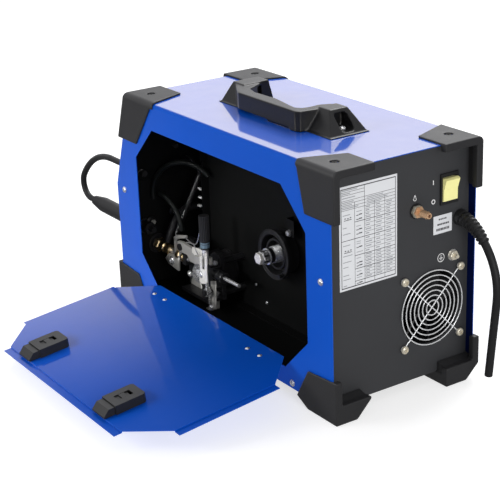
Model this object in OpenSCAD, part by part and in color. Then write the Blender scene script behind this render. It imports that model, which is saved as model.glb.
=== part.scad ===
// Portable wire-feed (MIG) welding power source, side door open.
// Millimetres. +Z up, feet on z = 0, origin on the floor under the middle of
// the cabinet. Front panel faces -Y, rear panel +Y, the door side is +X (right).

/* [Cabinet] */
// Width over the painted cover
body_width = 260; // [220:1:320]
// Length over the painted cover
body_length = 596; // [520:1:680]
// Height of the top of the cover above the floor
top_height = 370; // [330:1:420]
// Clearance between the floor and the cabinet bottom
floor_gap = 17; // [12:1:30]
// Thickness of the sheet metal
sheet = 1.2; // [0.8:0.1:2]
// Outer radius of the bends along the top edges
bend_radius = 6; // [2.5:0.5:8]
// Height at which the front starts to lean back
lean_height = 208; // [170:1:250]
// How far the top of the front leans back
lean_depth = 56; // [20:1:80]
// Depth of the rear panel inside the cover
rear_recess = 14; // [8:1:24]
// Depth of the front panel inside the cover
front_recess = 10; // [6:1:16]

/* [Door] */
// Height of the bottom edge of the door opening
opening_bottom = 46; // [44:1:60]
// Height of the top edge of the door opening
opening_top = 326; // [300:1:330]
// Length of the door opening
opening_length = 468; // [440:1:476]
// Size of the 45 degree corners of the opening
corner_cut = 57; // [40:1:70]
// Angle the open door stands away from closed
door_open_angle = 96.7; // [90:0.1:100]
// Height of the hinge axis above the floor
hinge_z = 53; // [51:0.5:56]

/* [Guards and feet] */
// Thickness of the moulded guards and feet over the cover
guard_wall = 3; // [2:0.5:4]
// How far the guards and feet stand out past the cover ends
guard_cap = 11; // [8:1:14]
// Height of the feet up the sides
foot_height = 62; // [50:1:80]
// Spacing of the bolt holes in the soles across the width
foot_hole_x = 204; // [200:1:208]
// Spacing of the bolt holes in the soles along the length
foot_hole_y = 544; // [520:1:580]

/* [Fan] */
// Outer size of the square fan
fan_size = 120; // [110:1:120]
// Spacing of the fan screws
fan_pitch = 105; // [98:0.5:105]
// Height of the fan centre
fan_z = 123; // [100:1:150]
// Number of rings in the finger guard
guard_rings = 7; // [5:1:8]
// Wire diameter of the finger guard
guard_wire = 2.2; // [1.6:0.1:3]

/* [Wire drive] */
// Height of the wire line
wire_z = 88; // [84:1:96]
// Diameter of the drive and pressure rolls
roll_diameter = 30; // [26:1:30]
// Diameter of the tension knob
knob_diameter = 17; // [15:1:30]
// Height of the spool hub axis
hub_z = 149; // [140:1:160]
// Diameter of the spool hub flange
hub_diameter = 82; // [60:1:90]

/* [Hidden] */
$fn = 48;

// Cabinet
side_x = body_width / 2;
inner_x = side_x - sheet;
flange_out = inner_x - 0.2;      // outer face of the side flanges
flange_in = inner_x - 1.6;
end_y = body_length / 2;
base_z = floor_gap;
top_z = top_height;
panel_top = top_z - sheet - 0.4;
back_y = end_y - rear_recess;    // outer face of the rear panel
slope_length = sqrt(pow(lean_depth, 2) + pow(top_z - lean_height, 2));
lean_sin = lean_depth / slope_length;
lean_cos = (top_z - lean_height) / slope_length;
lean_tan = lean_sin / lean_cos;
front_y = -end_y + front_recess; // outer face of the upright part of the front panel
kink_z = lean_height - front_recess * lean_sin + front_recess * (1 - lean_cos) / lean_tan;
divider_x = 8;                   // right face of the centre divider
side_holes = [[-273.5, 202], [273.5, 207], [200, 26], [-200, 26]]; // y, z
guard_hole_x = 101;
guard_hole_y = [-216, 270];      // front, rear
handle_hole_x = 3;
handle_hole_y = [-84, 158];      // front, rear

// Door, as closed
opening_y = 6;
opening_half = opening_length / 2;
door_half = opening_half - 4;
door_bottom = opening_bottom + 1.5;
door_top = opening_top - 3.5;
door_x = side_x - 2.3;           // inner face of the door sheet
door_cut = corner_cut - 3;
door_lip = 11;
hinge_x = side_x + 6;
hinge_y = [-135, 136];
rivet_offsets = [-16, 16];       // along y from each hinge centre
rivet_z = door_bottom + 22.5;
latch_y = [-116, 121];

// Rear fittings
fan_x = -60;
gas_x = -30;
gas_z = 277;
switch_x = -90;
switch_z = 298.6;
cord_x = -112;
cord_z = 250;
ground_x = -99;
ground_z = 195;

// Front fittings
socket_places = [[92, 127], [-70, 70]];    // x, z
lead_x = socket_places[0][0];
lead_up = 17;                              // up the slope from the kink
controls_up = 62;
knob_x = [-42, 34];
button_x = -4;
display_x = [-90, -8];                     // left edges of the display windows

// Wire drive and spool hub
wire_x = 66;
roll_y = -150;
roll_radius = roll_diameter / 2;
drive_z = wire_z - roll_radius - 0.2;
press_z = wire_z + roll_radius + 0.2;
arm_y = -188;                              // pivot of the pressure arm
arm_z = 112;
tension_x = 82;
tension_y = -104;
tension_z = 58;
standoffs = [[-190, 60], [-106, 104], [-106, 50]]; // y, z
hub_y = 20;
hub_end_x = 34;

blue = [0.05, 0.22, 0.68];
dark = [0.17, 0.17, 0.18];
black = [0.07, 0.07, 0.08];
steel = [0.72, 0.73, 0.75];
brass = [0.80, 0.62, 0.25];
copper = [0.72, 0.40, 0.22];
white = [0.92, 0.92, 0.90];
divider_grey = [0.20, 0.22, 0.20];

// ---- helpers -------------------------------------------------------------
// Ends along x and y may come in either order, which lets a side sign mirror a part
module box(x0, x1, y0, y1, z0, z1) {
  translate([min(x0, x1), min(y0, y1), z0]) cube([abs(x1 - x0), abs(y1 - y0), z1 - z0]);
}
// Cylinders along one axis, starting at (x, y, z) and l long
module rod_x(x, y, z, r, l) { translate([x, y, z]) rotate([0, 90, 0]) cylinder(r = r, h = l); }
module rod_y(x, y, z, r, l) { translate([x, y + l, z]) rotate([90, 0, 0]) cylinder(r = r, h = l); }
module rod_z(x, y, z, r, l) { translate([x, y, z]) cylinder(r = r, h = l); }
module rod_between(a, b, r) {
  d = b - a;
  l = norm(d);
  translate(a) rotate([0, acos(d[2] / l), atan2(d[1], d[0])]) cylinder(r = r, h = l);
}
// Evenly spaced rods along x, standing on a circle
module rod_circle_x(x, y, z, circle_radius, count, r, l) {
  for (i = [0:count - 1]) let (a = i * 360 / count)
    rod_x(x, y + circle_radius * cos(a), z + circle_radius * sin(a), r, l);
}
// Prisms along one axis; the points are (y, z), (x, z) and (x, y)
module prism_x(x0, x1, points) {
  translate([min(x0, x1), 0, 0]) rotate([90, 0, 90])
    linear_extrude(height = abs(x1 - x0)) polygon(points);
}
module prism_y(y0, y1, points) {
  translate([0, max(y0, y1), 0]) rotate([90, 0, 0])
    linear_extrude(height = abs(y1 - y0)) polygon(points);
}
module prism_z(z0, z1, points) {
  translate([0, 0, z0]) linear_extrude(height = z1 - z0) polygon(points);
}
module ring(ring_radius, wire_radius) {
  rotate_extrude() translate([ring_radius, 0]) circle(r = wire_radius, $fn = 24);
}
// Solid with the cabinet's cross-section, grown by e, with top corners of radius r
module cabinet_bar(y0, y1, e, r, z0) {
  x = side_x + e;
  z = top_z + e;
  translate([0, y1, 0]) rotate([90, 0, 0]) linear_extrude(height = y1 - y0) {
    translate([-x, z0]) square([2 * x, z - r - z0]);
    translate([-x + r, z0]) square([2 * (x - r), z - z0]);
    for (side = [-1, 1]) translate([side * (x - r), z - r]) circle(r = r);
  }
}
// The space the front and rear panels may fill inside the cover
module panel_space() {
  cabinet_bar(-end_y, end_y, -sheet - 0.2, bend_radius - sheet - 0.2, base_z - 1);
}
// Rods through both sides at (y, z) places, from x0 out to x1 on the right
module side_rods(holes, r, x0, x1) {
  for (side = [-1, 1], hole = holes)
    rod_x(side > 0 ? x0 : -x1, hole[0], hole[1], r, x1 - x0);
}
// Frame on the leaning part of the front panel, z pointing out, up along the slope from the kink
module on_slope(x, up) {
  translate([x, front_y + lean_sin * up, kink_z + lean_cos * up])
    rotate([acos(lean_cos * 0 + lean_sin), 0, 0]) children();
}
module control_holes(z, h) {
  for (c = [[knob_x[0], 4.2], [knob_x[1], 4.2], [button_x, 5.2]]) // x, radius
    on_slope(c[0], controls_up) translate([0, 0, z]) cylinder(r = c[1], h = h);
}
// Frame on the fan axis, z pointing into the cabinet
module at_fan(y) { translate([fan_x, y, fan_z]) rotate([90, 0, 0]) children(); }
module at_fan_corners() {
  for (a = [-1, 1], b = [-1, 1]) translate([a * fan_pitch / 2, b * fan_pitch / 2, 0]) children();
}
module switch_box(width, height, y0, y1) {
  box(switch_x - width / 2, switch_x + width / 2, y0, y1,
      switch_z - height / 2, switch_z + height / 2);
}
// Turns parts drawn on the closed door to the open pose
module open_door() {
  translate([hinge_x, 0, hinge_z]) rotate([0, door_open_angle, 0])
    translate([-hinge_x, 0, -hinge_z]) children();
}
// y of the cover's leaning front edge at height z
function front_edge(z) = -end_y + (z - lean_height) * lean_tan;
// Rectangle with its four corners cut at 45 degrees
function cut_rectangle(y0, y1, z0, z1, cut) = [
  [y0, z0 + cut], [y0 + cut, z0], [y1 - cut, z0], [y1, z0 + cut],
  [y1, z1 - cut], [y1 - cut, z1], [y0 + cut, z1], [y0, z1 - cut]];

// ---- cabinet -------------------------------------------------------------
module base_chassis() {
  color(dark) difference() {
    union() {
      box(-flange_out, flange_out, front_y + 1.7, back_y - 1.6, base_z, base_z + 1.4);
      for (side = [-1, 1])
        box(side * flange_in, side * flange_out, front_y + 30, back_y - 30, base_z, base_z + 18);
    }
    side_rods([side_holes[2], side_holes[3]], 2.2, side_x - 8, side_x + 1);
    for (i = [0:6]) box(-110, -20, -40 + i * 22, -34 + i * 22, base_z - 1, base_z + 3);
  }
}
module outer_cover() {
  color(blue) difference() {
    intersection() {
      difference() {
        cabinet_bar(-end_y, end_y, 0, bend_radius, base_z);
        cabinet_bar(-end_y - 1, end_y + 1, -sheet, bend_radius - sheet, base_z - 1);
      }
      prism_x(-side_x - 1, side_x + 1, [[-end_y, base_z], [end_y, base_z], [end_y, top_z],
        [-end_y + lean_depth, top_z], [-end_y, lean_height]]);
    }
    prism_x(side_x - 10, side_x + 10, cut_rectangle(opening_y - opening_half,
      opening_y + opening_half, opening_bottom, opening_top, corner_cut));
    side_rods(side_holes, 2.2, side_x - 5, side_x + 5);
    // Two rows of slots in the left side
    for (row = [0:1], i = [0:8])
      box(-side_x - 5, -side_x + 5, -60 + i * 24, -54 + i * 24, 70 + row * 130, 150 + row * 130);
    for (side = [-1, 1], y = guard_hole_y) rod_z(side * guard_hole_x, y, top_z - 5, 2.7, 10);
    for (y = handle_hole_y) rod_z(handle_hole_x, y, top_z - 5, 2.7, 10);
  }
}
module rear_panel() {
  color(dark) difference() {
    intersection() {
      panel_space();
      union() {
        box(-flange_out, flange_out, back_y - 1.4, back_y, base_z, panel_top);
        for (side = [-1, 1]) box(side * flange_in, side * flange_out,
          back_y - 22, back_y - 0.7, base_z + 19, top_z - 12);
      }
    }
    at_fan(back_y + 5) {
      cylinder(r = fan_size / 2 - 4, h = 10);
      at_fan_corners() cylinder(r = 2.3, h = 10);
    }
    switch_box(29.8, 41.2, back_y - 5, back_y + 5);
    rod_y(gas_x, back_y - 5, gas_z, 6.2, 10);
    rod_y(cord_x, back_y - 5, cord_z, 8.2, 10);
    rod_y(ground_x, back_y - 5, ground_z, 3.1, 10);
    side_rods([side_holes[1]], 2.2, side_x - 8, side_x + 1);
  }
}
module front_panel() {
  top_y = front_y + (panel_top - kink_z) * lean_tan;
  flange_top = panel_top - 12;
  flange_top_y = front_y + (flange_top - kink_z) * lean_tan;
  color(dark) difference() {
    intersection() {
      panel_space();
      union() {
        prism_x(-flange_out, flange_out, [[front_y, base_z], [front_y, kink_z],
          [top_y, panel_top], [top_y + 1.6, panel_top],
          [front_y + 1.5, kink_z - 0.3], [front_y + 1.5, base_z]]);
        for (side = [-1, 1]) prism_x(side * flange_in, side * flange_out, [
          [front_y + 0.7, base_z + 19], [front_y + 24, base_z + 19], [front_y + 24, kink_z],
          [flange_top_y + 24, flange_top], [flange_top_y + 0.7, flange_top],
          [front_y + 0.7, kink_z]]);
      }
    }
    rod_y(wire_x, front_y - 5, wire_z, 17.2, 12);
    for (p = socket_places) rod_y(p[0], front_y - 5, p[1], 13.2, 12);
    on_slope(lead_x, lead_up) cylinder(r = 7.2, h = 14, center = true);
    control_holes(-7, 14);
    side_rods([side_holes[0]], 2.2, side_x - 8, side_x + 1);
  }
}
module centre_divider() {
  x = divider_x;
  color(divider_grey) difference() {
    union() {
      box(x - 1.4, x, -205, back_y - 2, base_z + 1.4, top_z - 6);
      box(x, x + 16, -205, back_y - 24, base_z + 1.4, base_z + 2.8);
      box(x, x + 14, -205, -203.6, base_z + 2.8, top_z - 30);
    }
    rod_x(x - 5, roll_y, drive_z, 23.2, 10);
    rod_x(x - 5, hub_y, hub_z, 6.2, 10);
    rod_x(x - 5, -60, 300, 12, 10);
    box(x + 9, x + 20, -210, -200, 224, 244);
  }
  // Hollow bracket on the right face
  color(divider_grey) difference() {
    box(x, x + 14, 40, 60, 184, 212);
    box(x + 1.4, x + 12.6, 41.4, 61, 183, 213);
  }
}
module side_screws() {
  color(steel) {
    side_rods(side_holes, 4, side_x, side_x + 2.2);
    side_rods(side_holes, 1.9, side_x - 6, side_x);
  }
}

// ---- moulded corners -----------------------------------------------------
guard_x = side_x + guard_wall;
guard_top = top_z + guard_wall;
guard_inner_x = 62;
// Shell of the guard thickness around the cover
module guard_shell(y0, y1, z0) {
  difference() {
    cabinet_bar(y0, y1, guard_wall, bend_radius + guard_wall, z0);
    cabinet_bar(y0 - 1, y1 + 1, 0, bend_radius, 280);
  }
}
// L-shaped outline (x, z) of the guard's end cap
function cap_outline(side, z0) = [
  [side * (guard_x + 1), z0], [side * (side_x - 9), z0], [side * (side_x - 9), top_z - 9],
  [side * guard_inner_x, top_z - 9], [side * guard_inner_x, guard_top + 1],
  [side * (guard_x + 1), guard_top + 1]];
// side is +1 on the right and -1 on the left
module guard_rear(side) {
  bottom = 297;
  past_y = end_y + 1;
  in_x = side * guard_inner_x;
  difference() {
    union() {
      intersection() {
        guard_shell(200, end_y + 0.05, 290);
        union() {
          prism_x(side * (side_x - 4), side * guard_x,
            [[222, guard_top], [past_y, guard_top], [past_y, bottom], [241, bottom]]);
          prism_z(top_z - 8, guard_top + 1,
            [[in_x, past_y], [in_x, 250], [side * guard_x, 222], [side * guard_x, past_y]]);
        }
      }
      intersection() {
        cabinet_bar(end_y + 0.05, end_y + guard_cap, guard_wall, bend_radius + guard_wall, 280);
        prism_y(end_y, end_y + guard_cap + 1, cap_outline(side, bottom));
      }
      // Lip reaching inside the cover to the rear panel
      intersection() {
        difference() {
          cabinet_bar(back_y + 0.3, end_y + 0.6, -1.3, bend_radius - 1.3, bottom);
          cabinet_bar(back_y - 1, end_y + 2, -3.2, bend_radius - 3.2, 290);
        }
        prism_y(back_y, past_y, [[side * 131, bottom], [side * 100, bottom],
          [side * 100, top_z - 9], [in_x, top_z - 9], [in_x, top_z], [side * 131, top_z]]);
      }
    }
    rod_z(side * guard_hole_x, guard_hole_y[1], top_z - 1, 6.4, 6);
  }
}
module guard_front(side) {
  bottom = 293;
  cap_y = guard_cap / lean_cos;
  in_x = side * guard_inner_x;
  top_y = front_edge(guard_top);
  bottom_y = front_edge(bottom);
  difference() {
    union() {
      intersection() {
        guard_shell(-end_y, -150, 285);
        union() {
          prism_x(side * (side_x - 4), side * guard_x, [[-161, guard_top],
            [top_y - 0.1, guard_top], [bottom_y - 0.1, bottom], [-220, bottom]]);
          prism_z(top_z - 8, guard_top + 1, [[in_x, front_edge(top_z)], [in_x, -188],
            [side * guard_x, -161], [side * guard_x, front_edge(top_z)]]);
        }
      }
      intersection() {
        cabinet_bar(-end_y - 20, -200, guard_wall, bend_radius + guard_wall, 280);
        prism_x(in_x, side * guard_x, [[top_y - 0.05, guard_top], [top_y - cap_y, guard_top],
          [bottom_y - cap_y, bottom], [bottom_y - 0.05, bottom]]);
        prism_y(-end_y - 20, -199, cap_outline(side, 290));
      }
    }
    rod_z(side * guard_hole_x, guard_hole_y[0], top_z - 1, 6.4, 6);
  }
}
module guard_rear_right() { color(dark) guard_rear(1); }
module guard_rear_left() { color(dark) guard_rear(-1); }
module guard_front_right() { color(dark) guard_front(1); }
module guard_front_left() { color(dark) guard_front(-1); }
module guard_screws() {
  color(black) for (x = [-guard_hole_x, guard_hole_x], y = guard_hole_y) difference() {
    union() {
      rod_z(x, y, top_z, 4.2, 1.8);
      rod_z(x, y, top_z - 8, 2.4, 8);
    }
    translate([x, y, top_z + 0.8]) cylinder(r = 1.6, h = 3, $fn = 6);
  }
}
// end is +1 at the rear and -1 at the front. Left feet have their outside bottom
// edge chamfered, right feet their inside one.
module foot(side, end) {
  in_x = 70;
  cap_y = end_y + guard_cap;
  h = foot_height;
  intersection() {
    prism_x(side * in_x, side * guard_x, [[end * 213, 13], [end * 239, 0], [end * cap_y, 0],
      [end * cap_y, h + 4], [end * 241, h - 1]]);
    prism_y(end * 200, end * cap_y, side < 0
      ? [[side * in_x, 0], [side * 109, 0], [side * guard_x, 22],
         [side * guard_x, h + 8], [side * in_x, h + 8]]
      : [[side * 95, 0], [side * guard_x, 0], [side * guard_x, h + 8],
         [side * in_x, h + 8], [side * in_x, 25]]);
    difference() {
      box(side * in_x, side * guard_x, end * 200, end * cap_y, 0, 90);
      box(side * (in_x - 1), side * side_x, end * 199, end * end_y, base_z, 91);
      box(side * (in_x - 1), side * (side_x - 9), end * (end_y - 1), end * (cap_y + 1), 29, 91);
      rod_z(side * foot_hole_x / 2, end * foot_hole_y / 2, -1, 2.6, 14);
    }
  }
  // Filler between the rear panel and the rear feet
  if (end > 0) prism_x(side * (in_x + 2), side * (inner_x - 0.1),
    [[back_y + 0.1, base_z], [end_y + 0.5, base_z], [end_y + 0.5, 29], [back_y + 0.1, 33]]);
}
module foot_rear_right() { color(dark) foot(1, 1); }
module foot_rear_left() { color(dark) foot(-1, 1); }
module foot_front_right() { color(dark) foot(1, -1); }
module foot_front_left() { color(dark) foot(-1, -1); }

// ---- carrying handle -----------------------------------------------------
// Outlines (x, y) of the low pad and the grip
handle_pad = [[52, 98], [52, 112], [48, 119], [15, 126], [2, 122], [2, 104], [22, 105],
  [32, 103], [38, 94]];
handle_grip = [[20, -91], [49, -42], [52, -34], [52, 112], [48, 119], [15, 126], [12, 145],
  [-15, 145], [-15, 112], [2, 104], [22, 105], [32, 103], [38, 94], [36, 78], [29, 36],
  [31, -20], [25, -42], [-6, -60], [-20, -66], [-20, -91]];
module carry_handle() {
  z = top_z;
  post_z = z + 33;
  color(black) difference() {
    union() {
      // Rear post
      intersection() {
        prism_y(120, 180, [[-30, z], [37, z], [15, post_z], [-17, post_z]]);
        prism_x(-32, 39, [[122, z], [178, z], [147, post_z], [106, post_z]]);
      }
      // Front post
      intersection() {
        prism_y(-112, -58, [[-32, z], [38, z], [23, post_z], [-24, post_z]]);
        prism_x(-34, 40, [[-108, z], [-61, z], [-62, post_z], [-92, post_z]]);
      }
      box(-32, 39, 120, 180, z, z + 1.6);
      box(-34, 40, -110, -59, z, z + 1.6);
      prism_z(z, z + 8, handle_pad);
      prism_z(z + 4.5, z + 31, handle_grip);
    }
    // Round-cornered pocket in the rear post
    box(-11, 13, 140, 182, z + 10, z + 22);
    box(-5, 7, 140, 182, z + 4, z + 28);
    for (x = [-5, 7], up = [10, 22]) rod_y(x, 140, z + up, 6, 42);
    // Pocket in the front post
    box(-9, 12, -70, -56, z + 8, z + 27);
    rod_z(handle_hole_x, handle_hole_y[1], z - 1, 2.6, 10);
    rod_z(handle_hole_x, handle_hole_y[0], z - 1, 2.6, 14);
  }
}
module handle_screws() {
  x = handle_hole_x;
  under_z = top_z - sheet - 0.4;
  color(steel) {
    rod_z(x, handle_hole_y[1], top_z + 5, 5, 3.2);
    rod_z(x, handle_hole_y[1], top_z - 9, 2.4, 14);
    rod_z(x, handle_hole_y[0], under_z - 3, 5, 3.2);
    rod_z(x, handle_hole_y[0], under_z, 2.4, 13.4);
  }
}

// ---- fan -----------------------------------------------------------------
fan_half = fan_size / 2;
fan_depth = 38;
module fan_frame() {
  color(black) at_fan(back_y - 1.5) {
    difference() {
      union() {
        for (z = [0, fan_depth - 4])
          translate([-fan_half, -fan_half, z]) cube([fan_size, fan_size, 4]);
        cylinder(r = fan_half - 1, h = fan_depth);
      }
      translate([0, 0, -1]) cylinder(r = fan_half - 3.5, h = fan_depth + 2);
      at_fan_corners() translate([0, 0, -1]) cylinder(r = 2.3, h = fan_depth + 2);
    }
    translate([0, 0, 34]) cylinder(r = 20, h = 4);
    for (a = [45:90:315]) rotate([0, 0, a]) translate([18, -2.5, 34]) cube([fan_half - 20, 5, 4]);
    translate([0, 0, 20]) cylinder(r = 4, h = 15);
  }
}
module fan_rotor() {
  blades = 7;
  color(black) at_fan(back_y - 1.5) difference() {
    union() {
      translate([0, 0, 5]) cylinder(r = 19, h = 26);
      intersection() {
        translate([0, 0, 4]) cylinder(r = fan_half - 5, h = 28);
        for (i = [0:blades - 1]) rotate([0, 0, i * 360 / blades]) translate([17, 0, 18])
          rotate([38, 0, 0]) translate([0, -1.1, -17]) cube([fan_half, 2.2, 34]);
      }
    }
    translate([0, 0, 18]) cylinder(r = 4.05, h = 20);
  }
}
module fan_guard() {
  ring_step = 7.6;
  screw_radius = fan_pitch / 2 * sqrt(2);
  spoke_start = fan_half - 4 - (guard_rings - 1) * ring_step;
  color(steel) at_fan(back_y + 2.6) {
    for (i = [0:guard_rings - 1]) ring(fan_half - 3 - i * ring_step, guard_wire / 2);
    for (a = [45:90:315]) rotate([0, 0, a]) difference() {
      union() {
        translate([spoke_start, -guard_wire / 2, 0.5])
          cube([screw_radius - 3 - spoke_start, guard_wire, 2.1]);
        translate([screw_radius, 0, 0.4]) cylinder(r = 5.4, h = 2.2);
      }
      translate([screw_radius, 0, -1]) cylinder(r = 2.2, h = 5);
    }
  }
}
module fan_screws() {
  color(brass) at_fan(back_y) at_fan_corners() {
    difference() {
      translate([0, 0, -6]) cylinder(r = 5, h = 3);
      translate([-3, -0.5, -7]) cube([6, 1, 2.2]);
    }
    translate([0, 0, -3]) cylinder(r = 2, h = 47);
    translate([0, 0, 40]) cylinder(r = 4.4, h = 3.5, $fn = 6);
  }
}

// ---- rear fittings -------------------------------------------------------
module gas_inlet() {
  color(brass) difference() {
    union() {
      rod_y(gas_x, back_y, gas_z, 9, 8, $fn = 6);
      rod_y(gas_x, back_y - 12, gas_z, 6, 13);
      rod_y(gas_x, back_y + 7, gas_z, 4.2, 22);
      for (i = [0:2]) translate([gas_x, back_y + 14 + i * 5, gas_z])
        rotate([-90, 0, 0]) cylinder(r1 = 5.6, r2 = 4.3, h = 4.6);
    }
    rod_y(gas_x, back_y - 13, gas_z, 2.5, 50);
  }
}
module switch_bezel() {
  color(black) difference() {
    union() {
      switch_box(32.8, 46, back_y, back_y + 3);
      switch_box(29.4, 40.8, back_y - 26, back_y + 1);
    }
    switch_box(26.6, 36.4, back_y - 8, back_y + 10);
    rod_x(switch_x - 13.3, back_y - 1, switch_z, 18.6, 26.6);
  }
}
module switch_rocker() {
  color([0.90, 0.88, 0.60]) translate([switch_x, back_y - 1, switch_z]) rotate([-9, 0, 0])
    intersection() {
      prism_x(-13, 13,
        [[-6, -14], [4, -17.6], [9, -17.4], [6.4, 0], [9, 17.4], [4, 17.6], [-6, 14]]);
      rod_x(-14, 0, 0, 18.3, 28);
    }
}
// Two tangent arcs of the mains cable; angles count down from straight up
cord_radius = 66;
cord_low_radius = 104;
cord_turn = 37;
cord_centre_z = cord_z - cord_radius;
module cord_arc(y, z, arc_radius, a0, a1, r) {
  translate([cord_x, y, z]) rotate([0, -90, 0]) rotate([0, 0, a0])
    rotate_extrude(angle = a1 - a0) translate([arc_radius, 0]) circle(r = r);
}
module upper_cord_arc(a0, a1, r) { cord_arc(back_y, cord_centre_z, cord_radius, a0, a1, r); }
module strain_relief() {
  color(black) difference() {
    union() {
      rod_y(cord_x, back_y - 8, cord_z, 7.8, 8.5);
      rod_y(cord_x, back_y, cord_z, 12.5, 6, $fn = 6);
      upper_cord_arc(1, 12, 10);
      for (i = [0:3]) upper_cord_arc(14 + i * 5, 17.2 + i * 5, 9.9 - i * 0.5);
      upper_cord_arc(11, 35, 8);
    }
    rod_y(cord_x, back_y - 10, cord_z, 6.34, 11);
    upper_cord_arc(0, 40, 6.35);
  }
}
module mains_cable() {
  low_turn = 96;
  step = cord_low_radius - cord_radius;
  low_y = back_y - step * sin(cord_turn);
  low_z = cord_centre_z - step * cos(cord_turn);
  arc_end = [cord_x, low_y + cord_low_radius * sin(low_turn),
    low_z + cord_low_radius * cos(low_turn)];
  up = [0, sin(6), cos(6)]; // along the straight tail
  color(black) {
    rod_y(cord_x, back_y - 20, cord_z, 6.1, 20.2);
    upper_cord_arc(0, cord_turn, 6.2);
    cord_arc(low_y, low_z, cord_low_radius, cord_turn - 0.1, low_turn, 6.1);
    rod_between(arc_end + 0.2 * up, arc_end - 120 * up, 6);
  }
}
module ground_terminal() {
  color(brass) {
    rod_y(ground_x, back_y - 14, ground_z, 2.9, 26);
    rod_y(ground_x, back_y, ground_z, 5.8, 4.5, $fn = 6);
    rod_y(ground_x, back_y + 4.4, ground_z, 6.4, 1.4);
    rod_y(ground_x, back_y - 6, ground_z, 5.8, 4.4, $fn = 6);
  }
}
module rating_label() { color(white) box(4.5, 105.5, back_y, back_y + 0.4, 188.5, 339.5); }
module input_label() { color(white) box(-97, -62.5, back_y, back_y + 0.4, 233, 260.5); }

// ---- door ----------------------------------------------------------------
module door_panel() {
  y0 = opening_y - door_half;
  y1 = opening_y + door_half;
  z0 = door_bottom + door_cut;
  z1 = door_top - door_cut;
  lip_x = side_x + 0.2;
  out_x = lip_x + sheet;
  color(blue) open_door() difference() {
    union() {
      prism_x(door_x, door_x + sheet, cut_rectangle(y0, y1, door_bottom, door_top, door_cut));
      // Returns along the two ends and the top, then their lips over the cover
      box(door_x, out_x, y0, y0 + sheet, z0, z1);
      box(door_x, out_x, y1 - sheet, y1, z0, z1);
      box(door_x, out_x, y0 + door_cut, y1 - door_cut, door_top - sheet, door_top);
      box(lip_x, out_x, y0 - door_lip, y0 + sheet, z0, z1);
      box(lip_x, out_x, y1 - sheet, y1 + door_lip, z0, z1);
      box(lip_x, out_x, y0 + door_cut, y1 - door_cut, door_top - sheet, door_top + door_lip + 1);
    }
    for (y = hinge_y, dy = rivet_offsets) rod_x(door_x - 2, y + dy, rivet_z, 2.1, 6);
  }
}
module hinge_door_leaves() {
  x = door_x + sheet;
  z = door_bottom;
  color(blue) open_door() for (y = hinge_y) difference() {
    union() {
      box(x, x + 1.5, y - 20, y + 20, z + 14, z + 30);
      prism_y(y - 5.8, y + 5.8, [[x, z + 16], [x, z + 11], [hinge_x - 2.6, hinge_z - 2.2],
        [hinge_x + 2.6, hinge_z + 2.2], [x + 1.5, z + 15]]);
      rod_y(hinge_x, y - 5.8, hinge_z, 3.4, 11.6);
    }
    rod_y(hinge_x, y - 7, hinge_z, 1.65, 14);
    for (dy = rivet_offsets) rod_x(x - 2, y + dy, rivet_z, 2.1, 6);
  }
}
module hinge_case_leaves() {
  x = side_x;
  color(blue) for (y = hinge_y) {
    box(x, x + 1.5, y - 20, y + 20, 22, 42);
    for (dy = [-12, 12]) {
      prism_y(y + dy - 6, y + dy + 6, [[x, 38], [x + 1.5, 38], [x + 1.5, 41],
        [hinge_x + 2.6, hinge_z - 2.4], [hinge_x - 2.2, hinge_z + 2.2], [x, 43.5]]);
      rod_y(hinge_x, y + dy - 6, hinge_z, 3.4, 12);
    }
    rod_y(hinge_x, y - 19, hinge_z, 1.6, 38);
    for (dy = [-14, 14]) rod_x(x + 1.5, y + dy, 30, 3, 1.4);
  }
}
module door_rivets() {
  color(blue) open_door() for (c = hinge_y, dy = rivet_offsets) let (y = c + dy) {
    rod_x(door_x, y, rivet_z, 2, 3.2);
    intersection() {
      rod_x(door_x - 1.7, y, rivet_z, 3.6, 1.7);
      translate([door_x + 3.2, y, rivet_z]) sphere(r = 4.9);
    }
    rod_x(door_x + sheet + 1.5, y, rivet_z, 3, 1.2);
  }
}
module latch_housing_at(y) {
  x = door_x;
  z = door_bottom + 208;
  difference() {
    box(x - 14, x, y - 19.5, y + 19.5, z, z + 50);
    box(x - 12.2, x - 0.5, y - 17.5, y + 17.5, z + 4, z + 51);
    box(x - 16, x - 10, y - 7, y + 7, z + 13, z + 38);
    for (k = [-1, 1])
      prism_x(x - 15, x + 1, [[y + k * 20, z - 1], [y + k * 15, z - 1], [y + k * 20, z + 4]]);
  }
}
module latch_bolt_at(y) {
  x = door_x;
  z = door_bottom;
  prism_y(y - 17.4, y + 17.4, [[x - 0.6, z + 225], [x - 0.6, z + 277], [x - 3, z + 277],
    [x - 12.1, z + 268], [x - 12.1, z + 225]]);
  box(x - 13.8, x - 11, y - 6.6, y + 6.6, z + 230, z + 239);
}
module latch_housings() { color(black) open_door() for (y = latch_y) latch_housing_at(y); }
module latch_bolt_front() { color(black) open_door() latch_bolt_at(latch_y[0]); }
module latch_bolt_rear() { color(black) open_door() latch_bolt_at(latch_y[1]); }

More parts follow.
